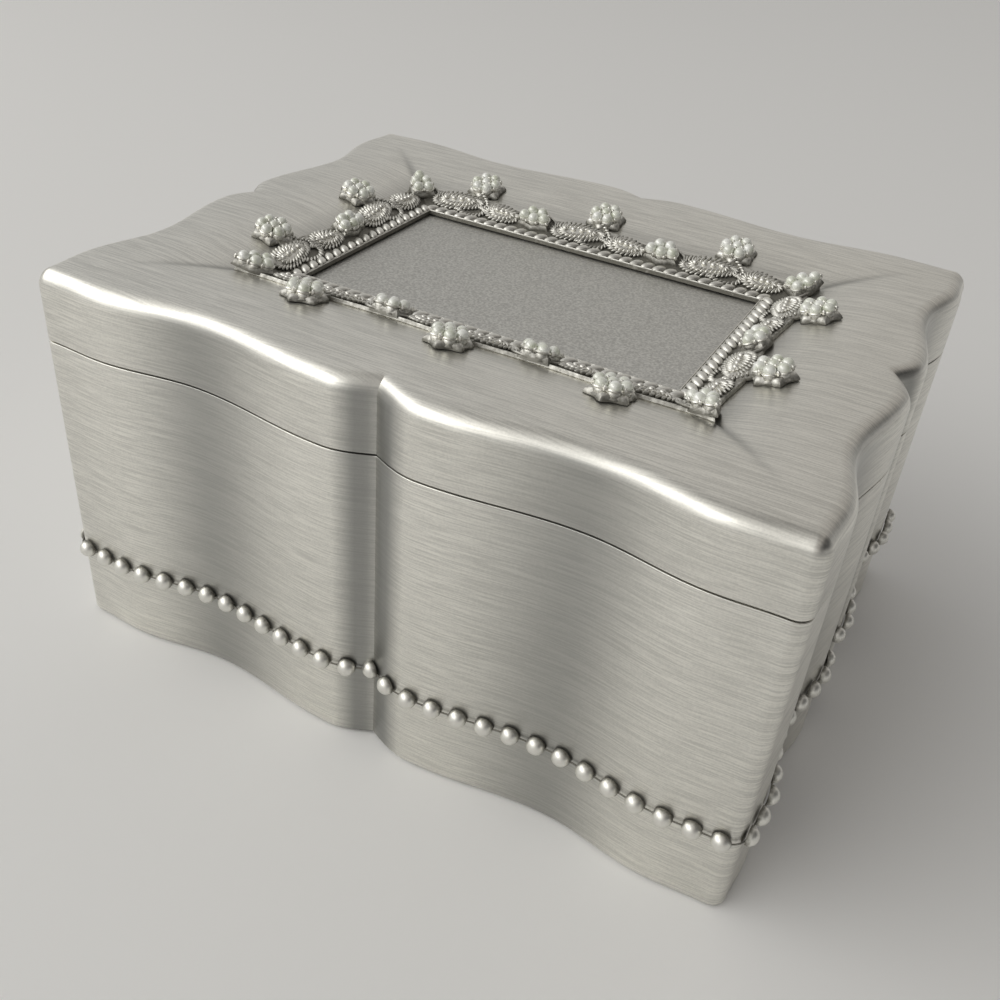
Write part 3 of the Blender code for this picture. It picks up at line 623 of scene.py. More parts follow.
def make_lid():
    edge = rounded(0.0, SEAM_EDGE, lid_z + SEAM_EDGE, lid_z, 3)
    rim = rounded(0.0, RIM_RADIUS, top_z - RIM_RADIUS, top_z, 10)
    profile = [(WALL, top_z - ROOF), (WALL, lid_z)] + edge[::-1] + rim
    under = [(LIP + ROOF, pocket_z - ROOF), (BAND + UNDER_STEP * DISH_REACH, top_z - ROOF)]
    distances = [DISH_REACH * k / DISH_STEPS for k in range(DISH_STEPS, -1, -1)]
    dish = [(BAND + distance, dish_height(distance)) for distance in distances]
    seat = [(SEAT, panel_z), (LIP, panel_z), (LIP, pocket_z)]
    return grow_shell("lid_casting", [oblong_ring(width, z) for width, z in under]
                      + [wavy_ring(inset, z) for inset, z in profile]
                      + [oblong_ring(width, z) for width, z in dish + seat])


# %% Patina and painted shade in the dish
DISH_PATINA_AND_SHADE = (0.45, 4.2 * MM)     # patina and painted shade beside the frame, and how far they reach
MITRE_PAINTED_SHADE = (0.90, 0.9 * MM)    # painted shade in a mitre, and its width


def mark_dish_patina_and_shade(piece):
    """Adds patina and painted shade beside the frame, and painted shade in the dish's four mitres.
    """
    for vertex, mark in zip(piece.data.vertices, piece.data.attributes["patina_and_shade"].data):
        past_x, past_y = abs(vertex.co.x) - panel_x - BAND, abs(vertex.co.y) - panel_y - BAND
        distance, mitre = max(past_x, past_y), abs(past_x - past_y) / math.sqrt(2)
        if vertex.co.z > top_z - DISH_DROP - 0.01 * MM and 0.0 <= distance < DISH_REACH:
            # beside the frame: patina and painted shade; along a mitre: painted shade
            beside = DISH_PATINA_AND_SHADE[0] * clamp(1 - distance / DISH_PATINA_AND_SHADE[1])
            crease = MITRE_PAINTED_SHADE[0] * math.exp(-(mitre / MITRE_PAINTED_SHADE[1]) ** 2)
            mark.value = max(mark.value, beside, crease * (1 - distance / DISH_REACH))


lid = make_lid()
finish_casting(lid, 14, 0.5 * RIM_RADIUS, "lid", "lid_shell")
mark_dish_patina_and_shade(lid)
print("lid_casting:", len(lid.data.polygons), "faces")

# %% [markdown]
# Small parts repeat on this box: beads, rope lumps, barbs and pearls. Each is modelled once
# at the origin, and a copy with its own mesh is laid in every place. The copies are then
# joined, so that a whole border is one piece that is easy to hand over to the frame.

# %% Place, copy, join and bevel
def spot_at(x, y, z, spin=0.0, size=(1.0, 1.0, 1.0)):
    return (Matrix.Translation((x, y, z)) @ Matrix.Rotation(spin, 4, "Z")
            @ Matrix.Diagonal((*size, 1.0)))


def lay_copies(first, places):
    """A copy of a small piece in each place. The first one is used up."""
    copies = []
    for place in places:
        copy = bpy.data.objects.new(first.name, first.data.copy())
        bpy.context.scene.collection.objects.link(copy)
        copy.data.transform(place)
        copies.append(copy)
    bpy.data.objects.remove(first)
    return copies


def join_pieces(name, pieces):
    select_only(*pieces)
    bpy.ops.object.join()
    return named(bpy.context.object, name)


def apply_bevel(piece, width, segments=2):
    select_only(piece)
    bevel = piece.modifiers.new("bevel", "BEVEL")
    bevel.width = width
    bevel.segments = segments
    bevel.limit_method = "ANGLE"
    bpy.ops.object.modifier_apply(modifier=bevel.name)


def make_lump(name, segments, rings, radius=1.0):
    bpy.ops.object.select_all(action="DESELECT")
    bpy.ops.mesh.primitive_uv_sphere_add(segments=segments, ring_count=rings, radius=radius)
    return named(bpy.context.object, name)


def mark_relief(piece, share):
    """Writes how high each point stands off its ground, 0 to 1, by a rule for its place."""
    relief = piece.data.attributes.new("relief", "FLOAT", "POINT")
    for vertex, mark in zip(piece.data.vertices, relief.data):
        mark.value = clamp(share(vertex.co))


# %% [markdown]
# The border round the body is a row of round beads on a thin wire, soldered to the wall.
# Each bead is a ball that is cut flat where it meets the wall. An odd number of beads on
# each side puts one in the notch, and the corners fall between two beads.

# %% Bead border
BEAD_HEIGHT = 15.8 * MM
BEAD_RADIUS = 1.66 * MM
BEAD_BACK = 0.074 * BEAD_RADIUS  # how far behind its middle a bead's back is cut
BEAD_COUNT = (29, 23)            # on a long side and on a short side
BEAD_WIRE = 0.15 * MM
BEAD_PATINA_AND_SHADE_FADE = 1.6                   # how fast a bead goes from patina and painted shade at the wall to polish on its way out
bead_z = casting_z + BEAD_HEIGHT


def place_along(points, distance):
    """Point and outward normal at a distance along a side's path."""
    for (x0, y0), (x1, y1) in zip(points, points[1:]):
        step = math.hypot(x1 - x0, y1 - y0)
        if distance <= step:
            break
        distance -= step
    share = min(distance / step, 1.0)
    return (x0 + (x1 - x0) * share, y0 + (y1 - y0) * share), ((y0 - y1) / step, (x1 - x0) / step)


def bead_places():
    off = GAP + BEAD_BACK
    for side in range(4):
        points = side_points(side, 0.0)
        total = sum(math.dist(a, b) for a, b in zip(points, points[1:]))
        count = BEAD_COUNT[side % 2]
        for k in range(count):
            (along, out), normal = place_along(points, (k + 0.5) * total / count)
            x, y = turned(side, along + normal[0] * off, out + normal[1] * off)
            heading = Vector(turned(side, *normal))
            yield spot_at(x, y, bead_z, math.atan2(heading.y, heading.x) - math.pi / 2)


def make_bead():
    """A ball whose back, towards -Y, is cut flat."""
    bead = make_lump("bead", 14, 8, BEAD_RADIUS)
    edit_all(bead)
    bpy.ops.mesh.bisect(plane_co=(0, -BEAD_BACK, 0), plane_no=(0, -1, 0), use_fill=True,
                        clear_outer=True)
    bpy.ops.object.mode_set(mode="OBJECT")
    # darker next to the wall: patina, and painted shade where the bead meets it
    mark_relief(bead, lambda spot: spot.y / BEAD_RADIUS * BEAD_PATINA_AND_SHADE_FADE)
    return bead


def make_bead_wire():
    turns = [math.tau * k / 6 for k in range(6)]
    rings = [wavy_ring(-GAP - BEAD_WIRE * (1 + math.cos(a)), bead_z + BEAD_WIRE * math.sin(a))
             for a in turns]
    wire = grow_shell("bead_wire", rings, closed=True)
    # the wire takes the beads' darkest tone all over: patina, and painted shade against the wall
    mark_relief(wire, lambda spot: 0.0)
    return wire


bead_row = join_pieces("bead_row", lay_copies(make_bead(), bead_places()) + [make_bead_wire()])
smooth_by_angle(bead_row, 60)
hand_over(bead_row, ornament_metal, "box", "pewter", "bead_border")
print("bead_row:", 2 * sum(BEAD_COUNT), "beads")

# %% [markdown]
# The frame on the lid is a separate casting. From the panel outwards it has a double
# fillet, a bed for the rope, and a band that climbs to the lid's dish. Its outer edge isn't
# straight: it swells towards each flower and draws in at each spray.

# %% Sizes of the foliage frame
BAYS = (3, 2)                    # on a long side and on a short side
FRAME_IN = 6.0 * MM              # from the line of sprays to the panel
ROPE_BED = 2.4 * MM
FILLET_WIDE = 0.6 * MM
FLOWER_SHIFT = 1.2 * MM
FLOWER_OUT = 6.0 * MM            # from the line of sprays to a flower's middle
EDGE_THICK = 0.5 * MM
EDGE_DRAWN = 1.1 * MM            # how far the outer edge draws in at a spray
lip_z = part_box("ornament_frame")[0].z
bed_z = lip_z + 0.4 * MM
dish_z = top_z - DISH_DROP
edge_z = dish_z + GAP + EDGE_THICK
spray_line = (panel_x + FRAME_IN, panel_y + FRAME_IN)
bay_lengths = (2 * spray_line[0] / BAYS[0], 2 * spray_line[1] / BAYS[1])
band_slope = (edge_z - bed_z) / (BAND - ROPE_BED)


def band_height(width):
    """Height of the band at a distance outside the panel's edge."""
    return bed_z + band_slope * max(0.0, width - ROPE_BED)


def band_place(side, along, width, lift, slope, diagonal=False):
    """A spot on a side: X runs along it, Y outwards up the slope, Z off the surface."""
    x, y = turned(side, along, own_first(side, panel_x, panel_y)[1] + width)
    heading = side * math.pi / 2 + math.pi + (math.pi / 4 if diagonal else 0.0)
    return spot_at(x, y, lift, heading) @ Matrix.Rotation(math.atan(slope), 4, "X")


def spray_place(side, along):
    """A spot on the line of sprays."""
    return band_place(side, along, FRAME_IN, band_height(FRAME_IN), band_slope)


print("bays", [round(length / MM, 1) for length in bay_lengths], "mm")

# %% Ground of the frame
FILLET = ((0.0, 0.30), (0.08, 0.38), (0.20, 0.36), (0.26, 0.24), (0.34, 0.24), (0.40, 0.36),
          (0.50, 0.36), (0.58, 0.26), (0.62, 0.0))    # out and up, in mm
BAND_STEPS = 6
EDGE_ROUND = 12                  # the scallops die out over a twelfth of half a side
FILLET_RUBBED = 0.8
EDGE_RUBBED = 0.35


def edge_draw(side, share, half):
    """How far the outer edge draws in at a share of a side: none beside a flower."""
    phase = (share * half - FLOWER_SHIFT) / bay_lengths[side % 2]
    phase += 0.5 if BAYS[side % 2] % 2 == 0 else 0.0
    return (clamp((1 - abs(share)) * EDGE_ROUND)
            * (EDGE_DRAWN * (1 - math.cos(math.tau * phase)) / 2))


def drawn_ring(width, z, part=1.0):
    """A ring of the band that takes part of the scalloped edge, and sinks with it."""
    return oblong_ring(width, z, lambda *spot: part * edge_draw(*spot), band_slope)


def ground_relief(spot):
    """Rubbed on the double fillet and a little on the outer edge, and dark between them."""
    beyond = max(abs(spot.x) - panel_x, abs(spot.y) - panel_y)
    if beyond > BAND - EDGE_DRAWN - 0.1 * MM:
        return EDGE_RUBBED
    return FILLET_RUBBED if beyond < FILLET_WIDE and spot.z > bed_z + 0.3 * MM else 0.0


def make_frame_ground():
    rings = [oblong_ring(0.0, lip_z)]
    rings += [oblong_ring(out * MM, bed_z + up * MM) for out, up in FILLET]
    rings += [oblong_ring(ROPE_BED, bed_z)]
    for k in range(1, BAND_STEPS + 1):
        width = ROPE_BED + (BAND - ROPE_BED) * k / BAND_STEPS
        rings.append(drawn_ring(width, band_height(width), (k / BAND_STEPS) ** 2))
    # over the edge's round, down its side, in under it, and on to the rope's bed
    rings += [drawn_ring(BAND + 0.10 * MM, edge_z - 0.10 * MM),
              drawn_ring(BAND + 0.30 * MM, edge_z - EDGE_THICK),
              drawn_ring(BAND + 0.24 * MM, dish_z + 0.08 * MM),
              oblong_ring(ROPE_BED + FILLET_WIDE, lip_z)]
    ground = grow_shell("frame_ground", rings, closed=True)
    mark_relief(ground, ground_relief)
    return ground


frame_ground = make_frame_ground()
print("frame_ground:", len(frame_ground.data.polygons), "faces")

# %% [markdown]
# A twisted rope lies in the bed. Seen from above, each strand shows as a plump lump that
# crosses the rope at a slant, so the rope is a row of slanted lumps, close enough to touch.

# %% Rope border
ROPE_PITCH = 2.3 * MM
ROPE_LUMP = (1.62 * MM, 0.86 * MM, 0.84 * MM)
ROPE_LIFT = 0.12 * MM
ROPE_TURN = math.radians(46)
ROPE_RISE = 0.95 * MM            # at this height over its bed the rope is rubbed bright


def rope_places():
    middle = (ROPE_BED + FILLET_WIDE) / 2
    for side in range(4):
        half = own_first(side, panel_x, panel_y)[0] + middle
        count = round(2 * half / ROPE_PITCH)
        for k in range(count):
            along = -half + 2 * half * (k + 0.5) / count
            yield (band_place(side, along, middle, bed_z, 0.0)
                   @ spot_at(0.0, 0.0, ROPE_LIFT, ROPE_TURN, ROPE_LUMP))


rope = join_pieces("rope_border", lay_copies(make_lump("strand", 12, 8), rope_places()))
smooth_by_angle(rope, 60)
mark_relief(rope, lambda spot: (spot.z - bed_z) / ROPE_RISE)
hand_over(rope, ornament_metal, "lid", "pewter", "rope_trim")
print("rope_border:", len(rope.data.polygons), "faces")

# %% [markdown]
# Between two sprays, a bay holds the same little relief each time: a long pod and a short
# one, both a low dome that two rows of slanted barbs cover, with a few round seeds along the
# middle. A tail curls under the long pod, a stem hangs down from the flower, and a wire of
# vine runs to each spray. The bay is modelled flat, in its own coordinates: U along it, V
# outwards, in mm.

# %% One bay of foliage
LONG_POD = (9.4, -0.4, 11.6, 4.7, 8.0, 32, 4)       # u, v, length, width, turn, barbs, seeds
SHORT_POD = (20.0, -0.8, 8.0, 4.3, -6.0, 24, 3)
POD_TAPER = 0.22                 # a pod is this much narrower at its tip, and wider behind
DOME = (0.46, 0.44, 0.80)        # half sizes: shares of the pod's length and width, and mm
BARB = (0.90, 0.27, 0.38)        # half sizes of a barb
SEED = (0.60, 0.56, 0.48)
SEED_STEP = 0.15                 # from seed to seed, as a share of the pod's length
SEED_ASIDE = 0.03                # off the pod's middle line, as a share of its width
SEED_LIFT = 0.86
BARB_SLANT = 52
BARB_ROWS = ((0.88, 0.30, 1.0), (0.56, 0.62, 0.72))  # share of the pod, height, share of barbs
TAIL = ((10.6, -2.6), (12.2, -3.3), (14.2, -3.4), (15.8, -2.5), (16.0, -1.2), (15.0, -0.6))
STEM = ((12.6, 3.9), (14.0, 2.6), (15.2, 1.4), (15.9, 0.3), (15.4, -0.7))
TAILS = ((TAIL, 13, 58, 0.30, (0.72, 0.26, 0.36)),  # route, barbs, slant, height, half sizes
         (STEM, 9, 50, 0.36, (0.52, 0.27, 0.36)))
VINES = (((23.6, -0.6), (24.8, 0.6), (25.9, 1.3), (27.2, 0.9)),
         ((0.3, 1.0), (1.6, 1.6), (3.0, 1.4), (4.4, 0.3)))
VINE_RADIUS = 0.27 * MM
VINE_LIFT = 0.25 * MM
VINE_POINTS = 12
LEAF_RISE = 1.1 * MM             # at this height the foliage is rubbed bright


def smooth_route(points, count):
    """Evenly spread points and headings on a smooth curve through a few points."""
    route = []
    for k in range(count):
        place = (len(points) - 1) * k / (count - 1)
        i = min(int(place), len(points) - 2)
        t = place - i
        p0, p1, p2, p3 = (Vector(points[max(0, min(j, len(points) - 1))])
                          for j in (i - 1, i, i + 1, i + 2))
        route.append(0.5 * (2 * p1 + (p2 - p0) * t + (2 * p0 - 5 * p1 + 4 * p2 - p3) * t ** 2
                            + (3 * p1 - p0 - 3 * p2 + p3) * t ** 3))
    headings = [(route[min(k + 1, count - 1)] - route[max(k - 1, 0)]) for k in range(count)]
    return [(spot, math.atan2(h.y, h.x)) for spot, h in zip(route, headings)]


def pod_marks(u, v, length, width, degrees, barbs, seeds):
    """Places of a pod's dome, its two rows of barbs and its seeds."""
    turn, middle = Matrix.Rotation(math.radians(degrees), 2), Vector((u, v))
    marks = [(middle, math.radians(degrees), 0.0,
              (length * DOME[0], width * DOME[1], DOME[2]))]
    for share, height, part in BARB_ROWS:
        count = round(barbs * part)
        for k in range(count):
            a = math.tau * (k + 0.5) / count
            taper = 1 - POD_TAPER * math.cos(a)
            spot = Vector((length / 2 * math.cos(a), width / 2 * math.sin(a) * taper)) * share
            heading = math.atan2(width * math.cos(a) * taper, -length * math.sin(a))
            marks.append((middle + turn @ spot, heading + math.radians(degrees + BARB_SLANT),
                          height, BARB))
    for k in range(seeds):
        spot = Vector(((k - (seeds - 1) / 2) * SEED_STEP * length, SEED_ASIDE * width))
        marks.append((middle + turn @ spot, 0.0, SEED_LIFT, SEED))
    return marks


def bay_marks():
    marks = pod_marks(*LONG_POD) + pod_marks(*SHORT_POD)
    for route, count, slant, height, size in TAILS:
        marks += [(spot, heading + math.radians(slant), height, size)
                  for spot, heading in smooth_route(route, count)]
    return marks


def make_vine(points):
    """A round wire that lies on the band."""
    curve = bpy.data.curves.new("vine", "CURVE")
    curve.dimensions = "3D"
    curve.bevel_depth = VINE_RADIUS
    curve.bevel_resolution = 2
    curve.use_fill_caps = True
    spline = curve.splines.new("POLY")
    route = smooth_route(points, VINE_POINTS)
    spline.points.add(len(route) - 1)
    for target, (spot, _) in zip(spline.points, route):
        target.co = (*(spot * MM), VINE_LIFT, 1.0)
    vine = bpy.data.objects.new("vine", curve)
    bpy.context.scene.collection.objects.link(vine)
    select_only(vine)
    bpy.ops.object.convert(target="MESH")
    return bpy.context.object


def make_bay():
    places = [spot_at(spot.x * MM, spot.y * MM, lift * MM, spin, [s * MM for s in size])
              for spot, spin, lift, size in bay_marks()]
    parts = lay_copies(make_lump("barb", 8, 6), places)
    bay = join_pieces("bay", parts + [make_vine(points) for points in VINES])
    smooth_by_angle(bay, 60)
    mark_relief(bay, lambda spot: spot.z / LEAF_RISE)
    return bay


def bay_places():
    """The flat bay is centred, stretched to its side's bay, and laid on the band."""
    model_length = bay_lengths[0]
    for side in range(4):
        bay = bay_lengths[side % 2]
        for k in range(BAYS[side % 2]):
            yield (spray_place(side, (k + 0.5) * bay - spray_line[side % 2])
                   @ Matrix.Diagonal((bay / model_length, 1.0, 1.0, 1.0))
                   @ Matrix.Translation((-model_length / 2, 0.0, 0.0)))


bays = lay_copies(make_bay(), bay_places())
print("foliage:", len(bays), "bays of", len(bays[0].data.polygons), "faces")

# %% [markdown]
# Three kinds of setting hold the pearls. A flower is a star outside each bay, with a web
# back to the frame. A spray is a diamond between two bays, and a corner setting is a pointed
# plate on the mitre. In each, small leaves lean in from a jagged foot round a body that has
# a lobe for each pearl. A thin collar lies round each pearl, and tiny claws stand between
# them.

# %% Places of the settings
CORNER_RAISED = 0.45 * MM        # the corner settings stand this much higher than the sprays


def flower_places():
    distance = FLOWER_OUT - (BAND - FRAME_IN)
    slope = 2 * DISH_DROP / DISH_REACH * (1 - distance / DISH_REACH)
    for side in range(4):
        count = BAYS[side % 2]
        for k in range(count):
            along = (k - (count - 1) / 2) * bay_lengths[side % 2] + FLOWER_SHIFT
            yield band_place(side, along, BAND + distance, dish_height(distance), slope)


def spray_places():
    for side in range(4):
        count = BAYS[side % 2]
        for k in range(1, count):
            yield spray_place(side, (k - count / 2) * bay_lengths[side % 2])


def corner_places():
    lift = band_height(FRAME_IN) + CORNER_RAISED
    for side in range(4):
        yield band_place(side, spray_line[side % 2], FRAME_IN, lift, band_slope / math.sqrt(2),
                         diagonal=True)


# %% Pearls of the three clusters, and sizes of their settings
PEARL_RADIUS = 1.05 * MM
PEARL_STEP = 2.16 * MM
HALF_STEP = PEARL_STEP / 2
SIXTH = [(math.cos(math.tau * k / 6), math.sin(math.tau * k / 6)) for k in range(6)]
FLOWER_PEARLS = [(0.0, 0.0)] + [(PEARL_STEP * x, PEARL_STEP * y) for x, y in SIXTH]
SPRAY_PEARLS = [(-PEARL_STEP, -0.7 * MM), (0.0, -1.1 * MM), (PEARL_STEP, -0.7 * MM),
                (-HALF_STEP, 0.87 * MM), (HALF_STEP, 0.87 * MM)]
CORNER_PEARLS = [(-HALF_STEP, -1.65 * MM), (HALF_STEP, -1.65 * MM), (-HALF_STEP, 0.5 * MM),
                 (HALF_STEP, 0.5 * MM), (0.0, 2.4 * MM)]
FLOWER_LIFT = 2.0 * MM           # of a pearl's middle above the setting's place
BAND_LIFT = 1.7 * MM
CUP_BELOW = 0.55 * MM            # the cup's top lies this far under the pearls' middles
COLLAR = (1.10 * MM, 0.20 * MM)  # ring radius and thickness of the metal round a pearl
COLLAR_BELOW = 0.30 * MM
FOOT_GAP = 0.06 * MM             # the settings' feet lie almost on the lid
FOOT_THICK = 0.34 * MM
CUP_LOBE = 1.28 * MM             # radius of the body's lobe round a pearl
LEAF_STEPS = ((0.12, 1.0), (0.24, 0.96), (0.26, 0.93), (0.22, 0.91))    # rise and narrowing
CUP_STEPS = ((0.3, 0.90), (0.4, 1.04), (0.3, 0.95))
FLOWER_FOOT = (3.15, 0.95)       # inner radius of its star, and how long its points are, in mm
STAR_STEPS = 36
WEB_WIDE = (3.2, 6.4)            # at the cup and at the frame, in mm
WEB_AT = (-2.4, -4.9)
WEB_THICK = 0.70
WEB_ROUND = 0.15 * MM
CLAW = 0.34 * MM
CLAW_RINGS = ((2.95 * MM, 1.85 * MM), (1.25 * MM, 2.3 * MM))    # a flower's: radius and height
BAND_CLAWS = 1.45 * MM           # height of the claws on the band
SETTING_RISE = 2.1 * MM          # at this height a setting is rubbed bright; lower down, patina and painted shade darken it


def hugging(spots, radius, count=48):
    """An outline round a group of pearls: the far side of a circle round each of them."""
    outline = []
    for k in range(count):
        way = Vector((math.cos(math.tau * k / count), math.sin(math.tau * k / count)))
        reach = 0.0
        for spot in spots:
            along, off = way.dot(spot), way.x * spot[1] - way.y * spot[0]
            if abs(off) < radius:
                reach = max(reach, along + math.sqrt(radius ** 2 - off ** 2))
        outline.append(tuple(way * reach))
    return outline


def raise_plate(name, outline, bottom, height, steps):
    """A plate over an outline. Each step raises its top by a share, and narrows it."""
    bpy.ops.object.select_all(action="DESELECT")
    bpy.ops.mesh.primitive_circle_add(vertices=len(outline), fill_type="NGON")
    plate = named(bpy.context.object, name)
    for vertex, (x, y) in zip(plate.data.vertices, outline):
        vertex.co = (x, y, bottom)
    edit_all(plate)
    for share, narrow in steps:
        bpy.ops.mesh.extrude_region_move(
            TRANSFORM_OT_translate={"value": (0, 0, share * height)})
        bpy.ops.transform.resize(value=(narrow, narrow, 1.0), center_override=(0.0, 0.0, 0.0))
    leave_edit()
    return plate


# %% The three settings
def make_cup(outline, pearls, bottom, top):
    """Leaves that lean in from a jagged foot, round a body with a lobe for each pearl."""
    leaves = raise_plate("cup_leaves", outline, bottom, top - bottom, LEAF_STEPS)
    body = raise_plate("cup_body", hugging(pearls, CUP_LOBE), bottom + FOOT_THICK,
                       top - bottom - FOOT_THICK, CUP_STEPS)
    return join_pieces("cup", [leaves, body])


def add_claws(spots, height):
    places = [spot_at(x, y, height, 0.0, (CLAW, CLAW, CLAW * 1.5)) for x, y in spots]
    return lay_copies(make_lump("claw", 6, 5), places)


def add_collars(spots, lift):
    """A ring of metal round each pearl, just under its middle."""
    bpy.ops.object.select_all(action="DESELECT")
    bpy.ops.mesh.primitive_torus_add(major_segments=16, minor_segments=6,
                                     major_radius=COLLAR[0], minor_radius=COLLAR[1])
    places = [spot_at(x, y, lift - COLLAR_BELOW) for x, y in spots]
    return lay_copies(named(bpy.context.object, "collar"), places)


def make_web():
    """The metal that runs from a flower's cup back to the frame, and widens on the way."""
    bpy.ops.object.select_all(action="DESELECT")
    bpy.ops.mesh.primitive_cube_add(size=1.0)
    web = named(bpy.context.object, "web")
    for vertex in web.data.vertices:
        near = vertex.co.y > 0
        vertex.co.x *= WEB_WIDE[0 if near else 1] * MM
        vertex.co.y = WEB_AT[0 if near else 1] * MM
        vertex.co.z = FOOT_GAP + (WEB_THICK if vertex.co.z > 0 else 0.0) * MM
    apply_bevel(web, WEB_ROUND)
    return web


def make_setting(name, parts, pearls, lift):
    """Joins a cup and what stands on it, with a collar round each pearl."""
    setting = join_pieces(name, parts + add_collars(pearls, lift))
    smooth_by_angle(setting, 50)
    # darker towards the foot: patina, and painted shade low on the setting
    mark_relief(setting, lambda spot: spot.z / SETTING_RISE)
    return setting


def make_flower_setting():
    turns = [math.tau * k / STAR_STEPS for k in range(STAR_STEPS)]
    radii = [(FLOWER_FOOT[0] + FLOWER_FOOT[1] * abs(math.cos(3 * a + math.pi / 2)) ** 3) * MM
             for a in turns]
    cup = make_cup([(r * math.cos(a), r * math.sin(a)) for r, a in zip(radii, turns)],
                   FLOWER_PEARLS, FOOT_GAP, FLOWER_LIFT - CUP_BELOW)
    parts = [cup, make_web()]
    between = [math.tau * (k + 0.5) / 6 for k in range(6)]
    for radius, height in CLAW_RINGS:
        parts += add_claws([(radius * math.cos(a), radius * math.sin(a)) for a in between],
                           height)
    return make_setting("flower_setting", parts, FLOWER_PEARLS, FLOWER_LIFT)


def make_band_setting(name, outline, pearls, sunk, claws):
    """A setting on the frame's band, from its outline and its claws' places in mm."""
    cup = make_cup([(x * MM, y * MM) for x, y in outline], pearls, -sunk, BAND_LIFT - CUP_BELOW)
    claws = add_claws([(x * MM, y * MM) for x, y in claws], BAND_CLAWS)
    return make_setting(name, [cup] + claws, pearls, BAND_LIFT)


def make_spray_setting():
    outline = ((-3.6, -2.1), (-1.9, -2.3), (0.0, -3.2), (1.9, -2.3), (3.6, -2.1), (2.9, 0.0),
               (2.7, 1.7), (0.0, 2.3), (-2.7, 1.7), (-2.9, 0.0))
    claws = ((-1.1, -2.2), (1.1, -2.2), (-2.6, 0.5), (2.6, 0.5), (0.0, 1.5), (0.0, 0.1),
             (-3.2, -1.8), (3.2, -1.8))
    return make_band_setting("spray_setting", outline, SPRAY_PEARLS, 0.3 * MM, claws)


def make_corner_setting():
    outline = ((-2.6, -3.1), (0.0, -2.9), (2.6, -3.1), (2.5, -1.0), (2.4, 0.7), (1.5, 2.2),
               (0.0, 4.3), (-1.5, 2.2), (-2.4, 0.7), (-2.5, -1.0))
    claws = ((0.0, -2.6), (-2.2, -0.6), (2.2, -0.6), (-1.6, 1.7), (1.6, 1.7), (0.0, -0.6),
             (0.0, 3.7))
    return make_band_setting("corner_setting", outline, CORNER_PEARLS, 0.2 * MM, claws)


settings = lay_copies(make_flower_setting(), flower_places())
settings += lay_copies(make_spray_setting(), spray_places())
settings += lay_copies(make_corner_setting(), corner_places())
foliage = join_pieces("foliage_frame", [frame_ground] + bays + settings)
hand_over(foliage, ornament_metal, "lid", "pewter", "ornament_frame")
print("foliage_frame:", len(foliage.data.polygons), "faces,", len(settings), "settings")

# %% [markdown]
# The pearls are small, white with a hint of green, and glossy. Each cluster is a piece of
# its own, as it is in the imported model.

# %% Pearl clusters
def set_pearls(stem, spots, lift, places):
    balls = [spot_at(x, y, lift, 0.4 * k, [PEARL_RADIUS] * 3) for k, (x, y) in enumerate(spots)]
    first = join_pieces("pearls", lay_copies(make_lump("pearl_ball", 14, 9), balls))
    smooth_by_angle(first, 80)
    clusters = lay_copies(first, places)
    for k, cluster in enumerate(clusters, 1):
        named(cluster, f"{stem}_pearls_{k:02d}")
        hand_over(cluster, pearl_white, "lid", "pearl", f"{stem}_{k:02d}")
    return clusters


clusters = set_pearls("flower", FLOWER_PEARLS, FLOWER_LIFT, flower_places())
clusters += set_pearls("spray", SPRAY_PEARLS, BAND_LIFT, spray_places())
clusters += set_pearls("corner_cluster", CORNER_PEARLS, BAND_LIFT, corner_places())
print(len(clusters), "clusters of pearls")

# %% [markdown]
# The panel is a flat plate of blasted metal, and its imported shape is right, so it stays and
# only gets its finish.

# %% Panel
panel = frame["nodes"]["top_panel"]
panel.data.materials.clear()
panel.data.materials.append(panel_metal)
print("panel:", round(2 * panel_x / MM, 1), "x", round(2 * panel_y / MM, 1), "mm in view")

# %% [markdown]
# Inside, velvet covers the walls, the floor and the lid. The wall cards bend with the wave.
# Each starts as a flat grid that is laid along its wall, and Solidify gives it thickness.

# %% Wall linings
LINING = 1.0 * MM
LINING_DROP = 1.5 * MM
LINING_END = 1.0 * MM
LINING_ROUND = 0.35 * MM


def pad_out(piece, smooth, fill, *handed):
    smooth_by_angle(piece, smooth)
    hand_over(piece, *handed)
    return piece


def make_lining(side, name):
    outer = WALL + GAP
    run, _, face = side_run(side, outer)
    half, _ = own_first(side, LENGTH / 2, DEPTH / 2)
    end = half - outer - own_first(side, LINING_END, LINING + GAP)[0]
    low, high = floor_z + GAP, seam_z - LINING_DROP
    bpy.ops.object.select_all(action="DESELECT")
    bpy.ops.mesh.primitive_grid_add(x_subdivisions=96, y_subdivisions=20, size=2.0)
    lining = named(bpy.context.object, "velvet_" + name)
    for vertex in lining.data.vertices:
        along = vertex.co.x * end
        out = face + wave(side, min(abs(along) / run, 1.0))
        z = (low + high) / 2 + vertex.co.y * (high - low) / 2
        vertex.co = (*turned(side, along, out), z)
    inwards = Vector((*turned(side, 0.0, -1.0), 0.0))
    solid = lining.modifiers.new("thickness", "SOLIDIFY")
    solid.thickness = LINING
    solid.offset = 1.0 if lining.data.polygons[0].normal.dot(inwards) > 0 else -1.0
    select_only(lining)
    bpy.ops.object.modifier_apply(modifier=solid.name)
    apply_bevel(lining, LINING_ROUND, 3)
    edit_all(lining)
    leave_edit()
    return pad_out(lining, 50, 0.9, velvet, "box", "velvet", "lining_" + name)


linings = [make_lining(side, name) for side, name in enumerate(("front", "right", "back", "left"))]
print("linings:", ", ".join(lining.name for lining in linings))

# %% Floor cushion, lid card and foot pad
CUSHION = 2.6 * MM
CUSHION_EDGE = 1.3 * MM
CUSHION_CROWN = 1.2 * MM
CROWN_FLAT = 26.0 * MM
CROWN_STEPS = 12
CARD = 1.2 * MM
CARD_EDGE = 0.6 * MM
PAD_EDGE = 0.3 * MM


